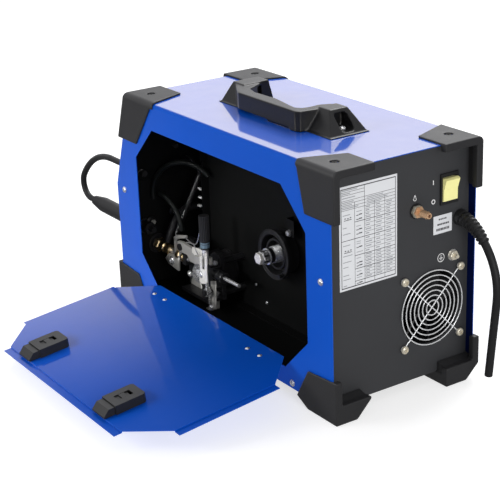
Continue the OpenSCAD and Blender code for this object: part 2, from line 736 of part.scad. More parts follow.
// ---- front ---------------------------------------------------------------
module control_panel() {
  color(black) difference() {
    on_slope(0, 0) translate([-106, 30, 0]) cube([176, 134, 2]);
    control_holes(-1, 5);
    for (x = display_x) on_slope(0, 0) translate([x, 100, 1.2]) cube([64, 40, 2]);
  }
  color([0.10, 0.02, 0.02]) for (x = display_x)
    on_slope(0, 0) translate([x + 0.5, 100.5, 1.2]) cube([63, 39, 0.5]);
}
module control_knob(x) {
  color(dark) on_slope(x, controls_up) difference() {
    union() {
      translate([0, 0, 2.4]) cylinder(r = 14, h = 5);
      translate([0, 0, 7.4]) cylinder(r = 11.5, h = 13);
      translate([0, 0, -9]) cylinder(r = 4.1, h = 13);
    }
    for (a = [0:30:330]) rotate([0, 0, a]) translate([12.6, 0, 9]) cylinder(r = 1.9, h = 14);
    translate([-0.8, 3, 19.6]) cube([1.6, 8, 2]);
  }
}
module knob_left() { control_knob(knob_x[0]); }
module knob_right() { control_knob(knob_x[1]); }
module feed_button() {
  color([0.7, 0.1, 0.08]) on_slope(button_x, controls_up) {
    translate([0, 0, -3]) cylinder(r = 5.1, h = 8);
    translate([0, 0, -6]) cylinder(r = 7, h = 3);
  }
}
module torch_connector() {
  x = wire_x;
  y = front_y;
  z = wire_z;
  color(black) difference() {
    union() {
      rod_y(x, y - 6, z, 25, 6);
      rod_y(x, y - 30, z, 20.5, 24.5);
      rod_y(x, y - 0.5, z, 17, 2.3);
    }
    rod_y(x, y - 31, z, 16.5, 24);
    rod_y(x, y - 8, z, 9.1, 12);
    for (a = [45:90:315]) rod_y(x + 21.5 * cos(a), y - 7, z + 21.5 * sin(a), 1.7, 8);
  }
  color(brass) difference() {
    union() {
      rod_y(x, y - 22, z, 9, 48);
      rod_y(x, y + 2, z, 13, 6);
      rod_y(x, y + 26, z, 6.5, 22);
    }
    rod_y(x, y - 23, z, 4, 30);
    rod_y(x, y - 23, z, 1.4, 80);
  }
}
module dinse_at(x, z) {
  y = front_y;
  difference() {
    union() {
      rod_y(x, y - 5, z, 21, 5);
      rod_y(x, y - 13, z, 17, 8.5);
      rod_y(x, y - 0.5, z, 13, 6);
    }
    rod_y(x, y - 14, z, 11.2, 8);
    rod_y(x, y - 10, z, 9, 20);
  }
  difference() {
    union() {
      rod_y(x, y - 5, z, 9, 30);
      rod_y(x, y + 18, z, 11, 8, $fn = 6);
      rod_y(x, y + 20, z, 5, 18);
    }
    rod_y(x, y - 6, z, 6.5, 24);
  }
}
module dinse_sockets() { color(black) for (p = socket_places) dinse_at(p[0], p[1]); }
// Leaves the slope, bends down through two tangent arcs and returns to the upper socket
module polarity_lead() {
  x = lead_x;
  plug_z = socket_places[0][1];
  start_y = -385;
  start_z = kink_z + lean_cos * lead_up;
  turn = 52;
  r1 = 140;
  r2 = (start_z - r1 * (1 - cos(turn)) - plug_z) / (1 + cos(turn));
  y2 = start_y - (r1 - r2) * sin(turn);
  color(black) {
    rod_y(x, start_y, start_z, 5.3, -start_y - 270);
    translate([x, start_y, start_z - r1]) rotate([0, 90, 0]) rotate([0, 0, 180])
      rotate_extrude(angle = turn) translate([r1, 0]) circle(r = 5.5);
    translate([x, y2, plug_z + r2]) rotate([0, 90, 0]) rotate([0, 0, 179.9 + turn])
      rotate_extrude(angle = 180.1 - turn) translate([r2, 0]) circle(r = 5.4);
    rod_y(x, y2, plug_z, 5.3, 20);
    for (i = [0:5]) rod_y(x, y2 + 17 + i * 5.4, plug_z, 8.6 + i * 0.8, 3.8);
    rod_y(x, y2 + 17.4, plug_z, 7.6, 34);
    rod_y(x, y2 + 49, plug_z, 13.2, front_y - 13.2 - y2 - 49);
    rod_y(x, -293, start_z, 10, 7);
  }
  color(brass) rod_y(x, front_y - 14, plug_z, 6.3, 28);
}

// ---- wire drive ----------------------------------------------------------
plate_x = 50; // left face of the feeder plate
// Outline (y, z) of the feeder plate
plate_outline = [[-200, 40], [-96, 40], [-96, 108], [-104, 118], [-120, 118], [-140, 100],
  [-176, 100], [-180, 122], [-200, 122]];
// Outline (y, z) of the pressure arm
arm_outline = [[-197, 104], [-197, 120], [-181, 122], [-150, 119.5], [-120, 119],
  [-120, 107], [-136, 107], [-141, 95], [-159, 95], [-168, 104]];
module feeder_plate() {
  color(steel) {
    difference() {
      union() {
        prism_x(plate_x, 57, plate_outline);
        box(57, 72, -112, -100, 78, 98);
        box(57, 72, -196, -184, 78, 98);
      }
      rod_x(48, roll_y, drive_z, 5.05, 12);
      rod_y(wire_x, -114, wire_z, 4.2, 16);
      rod_y(wire_x, -198, wire_z, 4.2, 16);
      for (p = standoffs) rod_x(48, p[0], p[1], 2.6, 12);
    }
    for (p = standoffs) {
      rod_x(divider_x, p[0], p[1], 6, plate_x - divider_x);
      rod_x(plate_x, p[0], p[1], 2.5, 8);
      rod_x(57.1, p[0], p[1], 5, 3.5);
    }
    // Pivot pins of the pressure arm and the tension arm
    rod_x(plate_x, arm_y, arm_z, 3.95, 29.5);
    rod_x(79.3, arm_y, arm_z, 6, 2.5);
    rod_x(plate_x, tension_y, tension_z, 3, 37.6);
    rod_x(86.4, tension_y, tension_z, 5, 2);
    box(plate_x, 78, -192, -110, 34, 40);
  }
}
module feed_motor() {
  color(black) {
    rod_x(-86, roll_y, drive_z, 22, 94);
    rod_x(-92, roll_y, drive_z, 9, 7);
  }
  color(steel) difference() {
    union() {
      rod_x(divider_x, roll_y, drive_z, 29, 5);
      box(divider_x + 5, 49.5, -176, -124, 48, 97);
    }
    for (z = [55, 90], y = [-170, -130]) rod_x(30, y, z, 2.2, 25);
  }
}
module drive_roll() {
  color(steel) difference() {
    union() {
      rod_x(49.8, roll_y, drive_z, 5, 11);
      rod_x(60.5, roll_y, drive_z, roll_radius, 11);
      rod_x(71.4, roll_y, drive_z, 7.5, 6);
      rod_x(49.7, roll_y, drive_z, 5, 2);
    }
    translate([wire_x, roll_y, drive_z]) rotate([0, 90, 0]) ring(roll_radius + 0.1, 0.7);
    rod_circle_x(71, roll_y, drive_z, 11, 6, 1.2, 2);
    rod_circle_x(71.5, roll_y, drive_z, 7.9, 12, 0.8, 7);
  }
}
module pressure_arm() {
  color([0.55, 0.56, 0.58]) difference() {
    union() {
      prism_x(73.6, 79, arm_outline);
      box(73.6, 91, -124, -97, 107, 119);
      rod_x(60.4, roll_y, press_z, 4, 14);
      rod_x(58.9, roll_y, press_z, 6, 1.6);
    }
    rod_x(70, arm_y, arm_z, 4.05, 12);
    box(78, 86, -110, -96, 100, 125);
  }
}
module pressure_roll() {
  color(steel) difference() {
    rod_x(60.7, roll_y, press_z, roll_radius, 12);
    rod_x(60, roll_y, press_z, 4.05, 14);
    rod_circle_x(60, roll_y, press_z, 9.5, 8, 1.8, 3);
  }
}
module tension_arm() {
  color(steel) difference() {
    union() {
      rod_x(78.4, tension_y, tension_z, 7, 7.2);
      rod_z(tension_x, tension_y, tension_z, 3, 128);
    }
    rod_x(77, tension_y, tension_z, 3.05, 10);
  }
}
module tension_knob() {
  x = tension_x;
  y = tension_y;
  r = knob_diameter / 2;
  color(dark) difference() {
    union() {
      rod_z(x, y, 134, 7.5, 14);
      rod_z(x, y, 147, r, 44);
    }
    rod_z(x, y, 133, 3.05, 54);
    for (a = [0:20:340]) rod_z(x + (r + 0.4) * cos(a), y + (r + 0.4) * sin(a), 150, 1.2, 45);
    for (i = [0:3]) translate([x, y, 136.5 + i * 2.8]) ring(7.7, 0.5);
  }
}
// Grooved sleeve standing for the coils
module tension_spring() {
  color(steel) difference() {
    rod_z(tension_x, tension_y, 119.3, 5.6, 14.5);
    rod_z(tension_x, tension_y, 118, 3.5, 18);
    for (i = [0:4]) translate([tension_x, tension_y, 121.6 + i * 2.5]) ring(5.9, 0.7);
  }
}
module wire_guides() {
  x = wire_x;
  z = wire_z;
  color(steel) difference() {
    union() {
      rod_y(x, -116, z, 4.1, 17);
      rod_y(x, -99.8, z, 8.8, 12, $fn = 6);
      rod_y(x, -88, z, 3.2, 56);
      rod_y(x, -88, z, 7, 13);
    }
    rod_y(x, -120, z, 1.3, 94);
  }
  color(brass) difference() {
    union() {
      rod_y(x, -196.2, z, 4.1, 12.2);
      rod_y(x, -184, z, 2.2, 17);
      rod_y(x, -210, z, 8.8, 13.8, $fn = 6);
      rod_y(x, -239, z, 4.6, 29);
    }
    rod_y(x, -241, z, 1.3, 80);
  }
}

// ---- spool hub -----------------------------------------------------------
module spool_axle() {
  color(steel) {
    rod_x(divider_x - 12, hub_y, hub_z, 6, 67);
    rod_x(divider_x - 9, hub_y, hub_z, 10, 7.5, $fn = 6);
    rod_x(38, hub_y, hub_z, 12, 2);
    rod_x(47, hub_y, hub_z, 11, 10, $fn = 6);
    rod_x(57, hub_y, hub_z, 8, 5.5);
  }
}
module spool_hub() {
  x = divider_x;
  r = hub_diameter / 2;
  color(black) difference() {
    union() {
      rod_x(x + 1.5, hub_y, hub_z, r - 5, hub_end_x - x - 1.5);
      rod_x(hub_end_x - 6, hub_y, hub_z, r, 6);
      rod_x(hub_end_x - 1, hub_y + 26, hub_z - 27, 3, 10);
    }
    // Hollow that leaves the centre boss and a ring wall standing
    difference() {
      rod_x(x + 7, hub_y, hub_z, r - 8.5, 40);
      rod_x(x + 5, hub_y, hub_z, 9, 5);
      difference() {
        rod_x(x + 5, hub_y, hub_z, 25, 17);
        rod_x(x + 4, hub_y, hub_z, 22, 30);
      }
    }
    rod_x(x - 3, hub_y, hub_z, 6.05, 30);
  }
}
module hub_spring() {
  color(steel) difference() {
    rod_x(divider_x + 10.3, hub_y, hub_z, 10, 19.5);
    rod_x(divider_x + 8, hub_y, hub_z, 6.6, 24);
    for (i = [0:4]) translate([divider_x + 13 + i * 3.5, hub_y, hub_z])
      rotate([0, 90, 0]) ring(10.3, 1.1);
  }
}

// ---- power electronics ---------------------------------------------------
board_x = -14; // left face of the board
module main_board() {
  right_x = board_x + 1.6;
  color([0.10, 0.32, 0.16]) difference() {
    box(board_x, right_x, -70, 225, 45, 340);
    rod_x(-20, -60, 300, 12, 12);
  }
  color([0.12, 0.12, 0.14]) {
    for (i = [0:3]) rod_x(-52, -40 + i * 42, 165, 17, 38);
    for (i = [0:4]) box(-28, board_x, -50 + i * 40, -28 + i * 40, 60, 76);
    box(-36, board_x, 170, 215, 300, 330);
    box(-32, board_x, -60, -10, 305, 335);
  }
  color(steel) for (y = [-64, 219], z = [51, 334]) {
    rod_x(right_x, y, z, 4, divider_x - 1.4 - right_x);
    rod_x(-16.5, y, z, 3.5, 2.5);
  }
}
module heat_sinks() {
  color([0.66, 0.67, 0.69]) for (y = [-45, 75]) {
    box(-22, -15, y, y + 100, 198, 256);
    for (i = [0:8]) box(-64, -21, y + 1 + i * 12, y + 3 + i * 12, 198, 256);
  }
}
module transformer() {
  color([0.14, 0.14, 0.15]) difference() {
    box(-108, -52, 60, 132, base_z + 1.4, 92);
    box(-110, -50, 74, 118, 34, 76);
  }
  color(copper) difference() {
    box(-114, -46, 74.5, 117.5, 34.5, 75.5);
    box(-92, -68, 84, 108, 30, 80);
  }
  color([0.80, 0.60, 0.20]) translate([-82, -30, base_z + 1.4])
    rotate_extrude() translate([24, 15]) circle(r = 14);
}
module gas_valve() {
  corner = [gas_x, -235, gas_z]; // where the hose turns down
  r = 4.5;
  color(brass) difference() {
    box(-42, -18, back_y - 50, back_y - 12.4, 266, 288);
    rod_y(gas_x, back_y - 54, gas_z, 2.5, 45);
  }
  color(black) {
    rod_z(gas_x, back_y - 34, 288, 10, 30);
    rod_y(gas_x, corner[1], gas_z, r, back_y - 50 - corner[1]);
  }
  color(black) {
    translate(corner) sphere(r = r);
    rod_between(corner, [52, -246, 112], r);
  }
}
// Arc in an upright plane through p, turned about z; centre is (along, up) in that plane
module arc_hose(p, turn, centre, radius, a0, a1) {
  translate(p) rotate([90, 0, turn]) translate([centre[0], centre[1], 0]) rotate([0, 0, a0])
    rotate_extrude(angle = a1 - a0) translate([radius, 0]) circle(r = 4.6);
}
module interior_hoses() {
  color(black) {
    arc_hose([72, -281, 0], 121.6, [61.5, 179.8], 62, 42.9, 187.2);
    arc_hose([70, -262, 0], 101.3, [-8.9, 126.6], 60, 3.2, 81.5);
  }
}

base_chassis();
outer_cover();
rear_panel();
front_panel();
centre_divider();
side_screws();
guard_rear_right();
guard_rear_left();
guard_front_right();
guard_front_left();
guard_screws();
foot_rear_right();
foot_rear_left();
foot_front_right();
foot_front_left();
carry_handle();
handle_screws();
fan_frame();
fan_rotor();
fan_guard();
fan_screws();
gas_inlet();
switch_bezel();
switch_rocker();
strain_relief();
mains_cable();
ground_terminal();
rating_label();
input_label();
hinge_case_leaves();
hinge_door_leaves();
door_panel();
door_rivets();
latch_housings();
latch_bolt_front();
latch_bolt_rear();
control_panel();
knob_left();
knob_right();
feed_button();
torch_connector();
dinse_sockets();
polarity_lead();
feeder_plate();
feed_motor();
drive_roll();
pressure_arm();
pressure_roll();
tension_arm();
tension_knob();
tension_spring();
wire_guides();
spool_axle();
spool_hub();
hub_spring();
main_board();
heat_sinks();
transformer();
gas_valve();
interior_hoses();
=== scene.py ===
"""A wire-feed welding machine: a blue steel case with moulded corners and a carrying handle.

The case stands on z = 0. The control panel faces -Y, the fan and the mains inlet are on the
+Y face, and the open bay with the wire drive and the reel hub is on the +X side. Piece sizes
are in millimetres. The stage, lights, camera and shader lengths are in metres.
"""
import math
import random

import bmesh
import bpy
from mathutils import Matrix, Vector

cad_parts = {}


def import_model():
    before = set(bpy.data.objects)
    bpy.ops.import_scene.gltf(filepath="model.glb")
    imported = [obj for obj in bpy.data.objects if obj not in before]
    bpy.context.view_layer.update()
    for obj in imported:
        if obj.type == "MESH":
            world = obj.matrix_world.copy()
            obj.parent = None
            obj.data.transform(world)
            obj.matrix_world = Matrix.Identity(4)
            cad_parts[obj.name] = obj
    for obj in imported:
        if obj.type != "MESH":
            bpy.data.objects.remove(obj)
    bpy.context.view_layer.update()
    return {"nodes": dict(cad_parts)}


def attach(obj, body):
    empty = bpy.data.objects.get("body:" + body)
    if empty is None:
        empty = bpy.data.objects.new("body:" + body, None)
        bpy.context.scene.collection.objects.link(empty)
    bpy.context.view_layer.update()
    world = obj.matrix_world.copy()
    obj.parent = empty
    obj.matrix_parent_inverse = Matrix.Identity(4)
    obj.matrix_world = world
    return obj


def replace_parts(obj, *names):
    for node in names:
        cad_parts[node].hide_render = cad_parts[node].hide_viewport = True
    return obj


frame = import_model()
CAD = frame["nodes"]
rnd = random.Random(7)

MM = 0.001
TURN = 2 * math.pi
ALONG_X, ALONG_Y, UP = (1, 0, 0), (0, 1, 0), (0, 0, 1)
CORNERS = ((-1, -1), (-1, 1), (1, -1), (1, 1))

REAR_Y = 284.0  # outer face of the rear panel
FAN_X, FAN_Z = -60, 123
FAN_PITCH = 52.5  # from the fan's centre to a screw, along x and z
HUB_Y, HUB_Z = 20, 149  # axis of the reel hub, which lies along x
WIRE_X, WIRE_Z = 66, 88  # line of the welding wire, which runs along y
GAS_X, GAS_Z = -30, 277
GROUND_X, GROUND_Z = -99, 195

# The leaning control panel: x across, y up its slope, z out of its face.
SLOPE_Y, SLOPE_Z = 0.3267, 0.9451
LEAN = Matrix(((1, 0, 0), (0, SLOPE_Y, -SLOPE_Z), (0, SLOPE_Z, SLOPE_Y))).to_4x4()
LEAN.translation = Vector((0, -288.0, 206.322)) * MM
PANEL_OUT = (0, -SLOPE_Z, SLOPE_Y)


# ---------------------------------------------------------------- shader nodes
def link(tree, source, target):
    tree.links.new(source, target)


def node(tree, kind, inputs=None, **settings):
    """A new shader node. A socket among the inputs is linked, any other value is set."""
    made = tree.nodes.new("ShaderNode" + kind)
    for key, value in settings.items():
        setattr(made, key, value)
    for key, value in (inputs or {}).items():
        if isinstance(value, bpy.types.NodeSocket):
            link(tree, value, made.inputs[key])
        else:
            made.inputs[key].default_value = value
    return made


def map_range(tree, value, from_range, to_range, **settings):
    inputs = {"Value": value}
    inputs["From Min"], inputs["From Max"] = from_range
    inputs["To Min"], inputs["To Max"] = to_range
    return node(tree, "MapRange", inputs, **settings).outputs["Result"]


def mix_color(tree, factor, first, second):
    inputs = {"A": first, "B": second, "Factor": factor}
    return node(tree, "Mix", inputs, data_type="RGBA").outputs["Result"]


def edge_rub_and_highlight(tree, color, patches, amount, edge_color, radius):
    """Lighten the colour along sharp edges, in patches: partly wear, partly a painted highlight
    where the edges catch the light.
    """
    bevelled = node(tree, "Bevel", {"Radius": radius}, samples=4)
    geometry = node(tree, "NewGeometry")
    normals = {0: bevelled.outputs["Normal"], 1: geometry.outputs["Normal"]}
    dot = node(tree, "VectorMath", normals, operation="DOT_PRODUCT")
    rub_and_highlight = map_range(tree, dot.outputs["Value"], (0.995, 0.86), (0, amount))
    patchy = node(tree, "Math", {0: rub_and_highlight, 1: patches}, operation="MULTIPLY")
    return mix_color(tree, patchy.outputs[0], color, list(edge_color) + [1])


def shade_faces_within(tree, place, color, centre_z, shadow_color):
    """Painted shade: darken the faces that look toward the case's long axis, where the inside of
    the cover lies in shadow.
    """
    geometry = node(tree, "NewGeometry")
    offset = node(tree, "VectorMath", {1: (0, 0, centre_z), 0: place}, operation="SUBTRACT")
    flat = node(tree, "VectorMath", {1: (1, 0, 1), 0: offset.outputs[0]}, operation="MULTIPLY")
    outward = node(tree, "VectorMath", {0: flat.outputs[0]}, operation="NORMALIZE")
    facing = {0: outward.outputs[0], 1: geometry.outputs["True Normal"]}
    dot = node(tree, "VectorMath", facing, operation="DOT_PRODUCT")
    shade_mask = map_range(tree, dot.outputs["Value"], (-0.05, -0.25), (0.0, 1.0))
    return mix_color(tree, shade_mask, color, list(shadow_color) + [1])


def add_lacquer(tree, shader, start, full, peak, rough, tint):
    """A clear lacquer that mirrors strongly only at a low angle."""
    glossy = node(tree, "BsdfGlossy", {"Roughness": rough})
    weight = node(tree, "LayerWeight", {"Blend": 0.5})
    amount = map_range(tree, weight.outputs["Facing"], (start, full), (0.0, peak),
                       interpolation_type="SMOOTHSTEP")
    tinted = node(tree, "VectorMath", {0: tint, "Scale": amount}, operation="SCALE")
    link(tree, tinted.outputs[0], glossy.inputs["Color"])
    both = node(tree, "AddShader", {0: shader.outputs["BSDF"], 1: glossy.outputs["BSDF"]})
    link(tree, both.outputs["Shader"], tree.nodes["Material Output"].inputs["Surface"])


def material(name, color, rough, metal=0.0, coat=0.0, spec=0.5, mottle=0.06, mottle_scale=9.0,
             grain=0.0, grain_scale=900.0, stretch=None, edge=0.0, edge_color=(0.6, 0.6, 0.62),
             edge_radius=0.0006, glow=None, lacquer=None, inside=None):
    """mottle: colour spread; grain: bump strength; stretch: scale of the grain on x, y, z;
    edge: wear and a painted highlight on sharp edges; glow: emitted colour and strength;
    lacquer: add_lacquer values;
    inside: centre height and colour of the painted shade on the faces that look inward."""
    made = bpy.data.materials.new(name)
    made.use_nodes = True
    tree = made.node_tree
    shader = tree.nodes["Principled BSDF"]
    place = node(tree, "TexCoord").outputs["Object"]
    clouds = node(tree, "TexNoise", {"Scale": mottle_scale, "Detail": 6, "Vector": place})
    dark = [max(0, c * (1 - mottle)) for c in color] + [1]
    light = [min(1, c * (1 + mottle)) for c in color] + [1]
    shade = mix_color(tree, clouds.outputs["Fac"], dark, light)

    grain_place = place
    if stretch:
        mapping = node(tree, "Mapping", {"Scale": stretch, "Vector": place})
        grain_place = mapping.outputs["Vector"]
    grain_noise = node(tree, "TexNoise",
                       {"Scale": grain_scale, "Detail": 3, "Vector": grain_place}).outputs["Fac"]
    patches = node(tree, "TexNoise",
                   {"Scale": 28.0, "Detail": 5, "Vector": place}).outputs["Fac"]
    average = node(tree, "Math", {0: grain_noise, 1: 0.5}, operation="MULTIPLY_ADD")
    half = node(tree, "Math", {0: patches, 1: 0.5}, operation="MULTIPLY")
    link(tree, half.outputs[0], average.inputs[2])
    rough_range = (max(0.02, rough - 0.06), min(1.0, rough + 0.06))
    roughness = map_range(tree, average.outputs[0], (0.3, 0.7), rough_range)
    link(tree, roughness, shader.inputs["Roughness"])
    if grain > 0:
        bump = node(tree, "Bump", {"Strength": grain, "Distance": 0.0002, "Height": grain_noise})
        link(tree, bump.outputs["Normal"], shader.inputs["Normal"])
    if edge > 0:
        shade = edge_rub_and_highlight(tree, shade, patches, edge, edge_color, edge_radius)
    # Painted shade on the faces that look inward.
    if inside:
        shade = shade_faces_within(tree, place, shade, *inside)
    link(tree, shade, shader.inputs["Base Color"])

    shader.inputs["Metallic"].default_value = metal
    shader.inputs["Coat Weight"].default_value = coat
    shader.inputs["Coat Roughness"].default_value = 0.1
    shader.inputs["Specular IOR Level"].default_value = spec
    if glow:
        shader.inputs["Emission Color"].default_value = list(glow[0]) + [1]
        shader.inputs["Emission Strength"].default_value = glow[1]
    if lacquer:
        add_lacquer(tree, shader, **lacquer)
    return made


# ---------------------------------------------------------------- materials
# Each edge colour in these finishes is lighter than its base: partly wear, partly a painted
# highlight along the edges.
BLUE_PAINT = dict(rough=0.42, mottle=0.05, grain=0.10, grain_scale=700, spec=0.08, edge=0.35,
                  edge_color=(0.10, 0.26, 0.75))
BLUE_LACQUER = dict(start=0.50, full=0.68, tint=(1.0, 0.90, 0.60))
GREY_RUB_AND_HIGHLIGHT = dict(edge=0.35, edge_color=(0.10, 0.10, 0.11), edge_radius=0.0012)

BLUE = material("powder_blue", color=(0.0006, 0.066, 0.43),
                lacquer=dict(peak=0.42, rough=0.06, **BLUE_LACQUER), **BLUE_PAINT)
# The cover's inward faces get a painted shade, a near-black navy, for the shadow inside the
# case.
COVER = material("powder_blue_cover", color=(0.0006, 0.070, 0.45),
                 lacquer=dict(peak=0.47, rough=0.05, **BLUE_LACQUER),
                 inside=(0.19, (0.0004, 0.005, 0.045)), **BLUE_PAINT)
REAR = material("powder_graphite", color=(0.040, 0.041, 0.044), rough=0.46, mottle=0.10,
                grain=0.22, grain_scale=1400, spec=0.18, edge=0.25, edge_color=(0.2, 0.2, 0.21))
# Black paint made darker still: a painted shade for the deep shadow inside the bay and in
# recesses.
BAY_BLACK_AND_SHADE = material("black_powder_and_shade", color=(0.0035, 0.0037, 0.0037), rough=0.55, mottle=0.15,
                 grain=0.2, grain_scale=1200, spec=0.12)
HOSE = material("hose_black", color=(0.006, 0.0072, 0.0066), rough=0.45, mottle=0.2,
                grain=0.2, grain_scale=800, spec=0.16)
NICKEL = material("bright_nickel", color=(0.84, 0.82, 0.77), rough=0.30, metal=0.5,
                  mottle=0.08, mottle_scale=90, grain=0.12, grain_scale=700,
                  edge=0.3, edge_color=(0.95, 0.95, 0.92))
GUARD = material("moulded_grey", color=(0.019, 0.019, 0.0205), rough=0.50, mottle=0.12,
                 grain=0.42, grain_scale=1100, spec=0.34, **GREY_RUB_AND_HIGHLIGHT)
BLACK = material("moulded_black", color=(0.013, 0.013, 0.014), rough=0.40, mottle=0.12,
                 grain=0.22, grain_scale=1300, spec=0.32,
                 edge=0.25, edge_color=(0.07, 0.07, 0.075))
HANDLE = material("moulded_black_grip", color=(0.009, 0.009, 0.0095), rough=0.31, mottle=0.12,
                  grain=0.30, grain_scale=1100, spec=0.31, **GREY_RUB_AND_HIGHLIGHT)
SATIN = material("black_satin", color=(0.010, 0.010, 0.011), rough=0.30, mottle=0.12,
                 grain=0.08, grain_scale=1300, spec=0.32)
RUBBER = material("rubber_sheath", color=(0.012, 0.012, 0.013), rough=0.48, mottle=0.2,
                  grain=0.25, grain_scale=800, spec=0.26)
STEEL = material("zinc_plate", color=(0.74, 0.745, 0.76), rough=0.27, metal=0.85,
                 mottle=0.12, mottle_scale=120, grain=0.12, grain_scale=500,
                 stretch=(1, 1, 14), edge=0.3, edge_color=(0.9, 0.9, 0.9))
CAST = material("die_cast", color=(0.52, 0.51, 0.48), rough=0.40, metal=0.7,
                mottle=0.14, mottle_scale=70, grain=0.45, grain_scale=900)
CHROME = material("bright_wire", color=(0.88, 0.89, 0.90), rough=0.28, metal=0.5,
                  mottle=0.04, mottle_scale=200, grain=0.03, grain_scale=400)
BRASS = material("turned_brass", color=(0.78, 0.60, 0.34), rough=0.26, metal=1.0,
                 mottle=0.15, mottle_scale=150, grain=0.12, grain_scale=600,
                 stretch=(1, 12, 1), edge=0.3, edge_color=(0.95, 0.8, 0.5))
ALU = material("aluminium_fin", color=(0.70, 0.71, 0.73), rough=0.36, metal=1.0,
               mottle=0.08, mottle_scale=60, grain=0.2, grain_scale=500, stretch=(1, 1, 20))
PALE_BRASS = material("passivated_zinc", color=(0.80, 0.74, 0.60), rough=0.30, metal=0.6,
                      mottle=0.10, mottle_scale=160, grain=0.12, grain_scale=600,
                      edge=0.3, edge_color=(0.95, 0.93, 0.88))
TAIL = material("copper_brass", color=(0.80, 0.50, 0.29), rough=0.28, metal=0.6,
                mottle=0.12, mottle_scale=160, grain=0.1, grain_scale=600,
                edge=0.3, edge_color=(0.95, 0.75, 0.6))
# The faint glow is painted light that makes the rocker paler and brighter; on the amber panel
# lamp it is the lamp's own light.
AMBER = material("rocker_amber", color=(0.76, 0.72, 0.30), rough=0.24, mottle=0.06,
                 mottle_scale=60, grain=0.04, coat=0.4, glow=((0.80, 0.76, 0.34), 0.16))
LABEL = material("label_sheet", color=(0.66, 0.67, 0.69), rough=0.36, mottle=0.03,
                 grain=0.05, grain_scale=300, coat=0.25)
INK = material("label_ink", color=(0.03, 0.03, 0.035), rough=0.5, mottle=0.2,
               mottle_scale=60, grain=0.05)
INK_GREY = material("label_grey", color=(0.28, 0.29, 0.31), rough=0.5, mottle=0.15,
                    mottle_scale=60, grain=0.05)
# White for printed marks, and for the painted highlight bars on the divider's edge.
WHITE_MARKS_AND_GLINTS = material("screen_white", color=(0.70, 0.70, 0.70), rough=0.5, mottle=0.1,
                 mottle_scale=90, grain=0.05)
RED = material("red_plastic", color=(0.45, 0.02, 0.015), rough=0.32, mottle=0.08,
               grain=0.05, coat=0.3)
BOARD = material("green_laminate", color=(0.010, 0.085, 0.035), rough=0.38, mottle=0.25,
                 mottle_scale=90, grain=0.1, grain_scale=500, coat=0.3)
IRON = material("laminated_core", color=(0.05, 0.05, 0.055), rough=0.48, metal=0.6,
                mottle=0.3, mottle_scale=60, grain=0.4, grain_scale=350, stretch=(8, 1, 1))
RED_WIRE = material("red_insulation", color=(0.40, 0.015, 0.012), rough=0.40, mottle=0.1,
                    grain=0.1)
BLUE_WIRE = material("blue_insulation", color=(0.02, 0.06, 0.35), rough=0.40, mottle=0.1,
                     grain=0.1)
PALE = material("scale_ring", color=(0.10, 0.16, 0.21), rough=0.4, mottle=0.1, grain=0.1)

# Spare finishes, kept in the file's palette.
material("enamelled_copper", color=(0.55, 0.20, 0.08), rough=0.30, metal=0.9, mottle=0.2,
         mottle_scale=100, grain=0.5, grain_scale=420, stretch=(1, 1, 4))
material("display_window", color=(0.010, 0.004, 0.004), rough=0.12, mottle=0.1, coat=0.6)
material("pale_nylon", color=(0.55, 0.56, 0.58), rough=0.4, mottle=0.08, grain=0.1)

CAD_MATERIALS = (
    (BLUE, "door_panel hinge_case_leaves hinge_door_leaves"),
    (COVER, "outer_cover"),
    (REAR, "rear_panel"),
    # Painted shade: the base chassis takes this near-black too, for the shaded bay floor.
    (BAY_BLACK_AND_SHADE, "base_chassis front_panel centre_divider guard_screws"),
    (BLACK, "carry_handle fan_frame fan_rotor switch_bezel strain_relief latch_housings "
            "latch_bolt_front latch_bolt_rear knob_left knob_right torch_connector "
            "tension_knob spool_hub feed_motor"),
    (SATIN, "dinse_sockets control_panel gas_valve spool_axle feeder_plate"),
    (RUBBER, "mains_cable polarity_lead"),
    (HOSE, "interior_hoses"),
    (STEEL, "side_screws handle_screws drive_roll pressure_roll tension_arm tension_spring "
            "wire_guides hub_spring door_rivets"),
    (CAST, "pressure_arm"),
    (CHROME, "fan_guard"),
    (PALE_BRASS, "fan_screws ground_terminal"),
    (TAIL, "gas_inlet"),
    (AMBER, "switch_rocker"),
    (LABEL, "rating_label input_label"),
    (RED, "feed_button"),
    (BOARD, "main_board"),
    (ALU, "heat_sinks"),
    (IRON, "transformer"),
)


def paint_cad():
    guards = [n for n in CAD if n.startswith(("guard_rear", "guard_front", "foot_"))]
    jobs = [(mat, names.split()) for mat, names in CAD_MATERIALS]
    for mat, names in jobs + [(GUARD, guards)]:
        for name in names:
            slots = CAD[name].data.materials
            slots.clear()
            slots.append(mat)


# ---------------------------------------------------------------- stage
def new_object(name, data):
    obj = bpy.data.objects.new(name, data)
    bpy.context.scene.collection.objects.link(obj)
    return obj


def stage():
    mesh = bpy.data.meshes.new("floor")
    reach = 14.0
    corners = [(-reach, -reach, 0), (reach, -reach, 0), (reach, reach, 0), (-reach, reach, 0)]
    mesh.from_pydata(corners, [], [(0, 1, 2, 3)])
    floor = new_object("floor", mesh)
    mesh.materials.append(material("floor_pale", color=(0.55, 0.55, 0.55), rough=0.55,
                                   mottle=0.004, spec=0.2, glow=((1, 1, 1), 0.66)))
    floor.location.z = -0.0004
    floor.visible_glossy = False


def add_light(kind, name, place, target, power, **settings):
    lamp = bpy.data.lights.new(name, kind)
    lamp.energy = power
    for key, value in settings.items():
        setattr(lamp, key, value)
    obj = new_object(name, lamp)
    obj.location = place
    obj.rotation_mode = "QUATERNION"
    obj.rotation_quaternion = (Vector(target) - Vector(place)).to_track_quat("-Z", "Y")


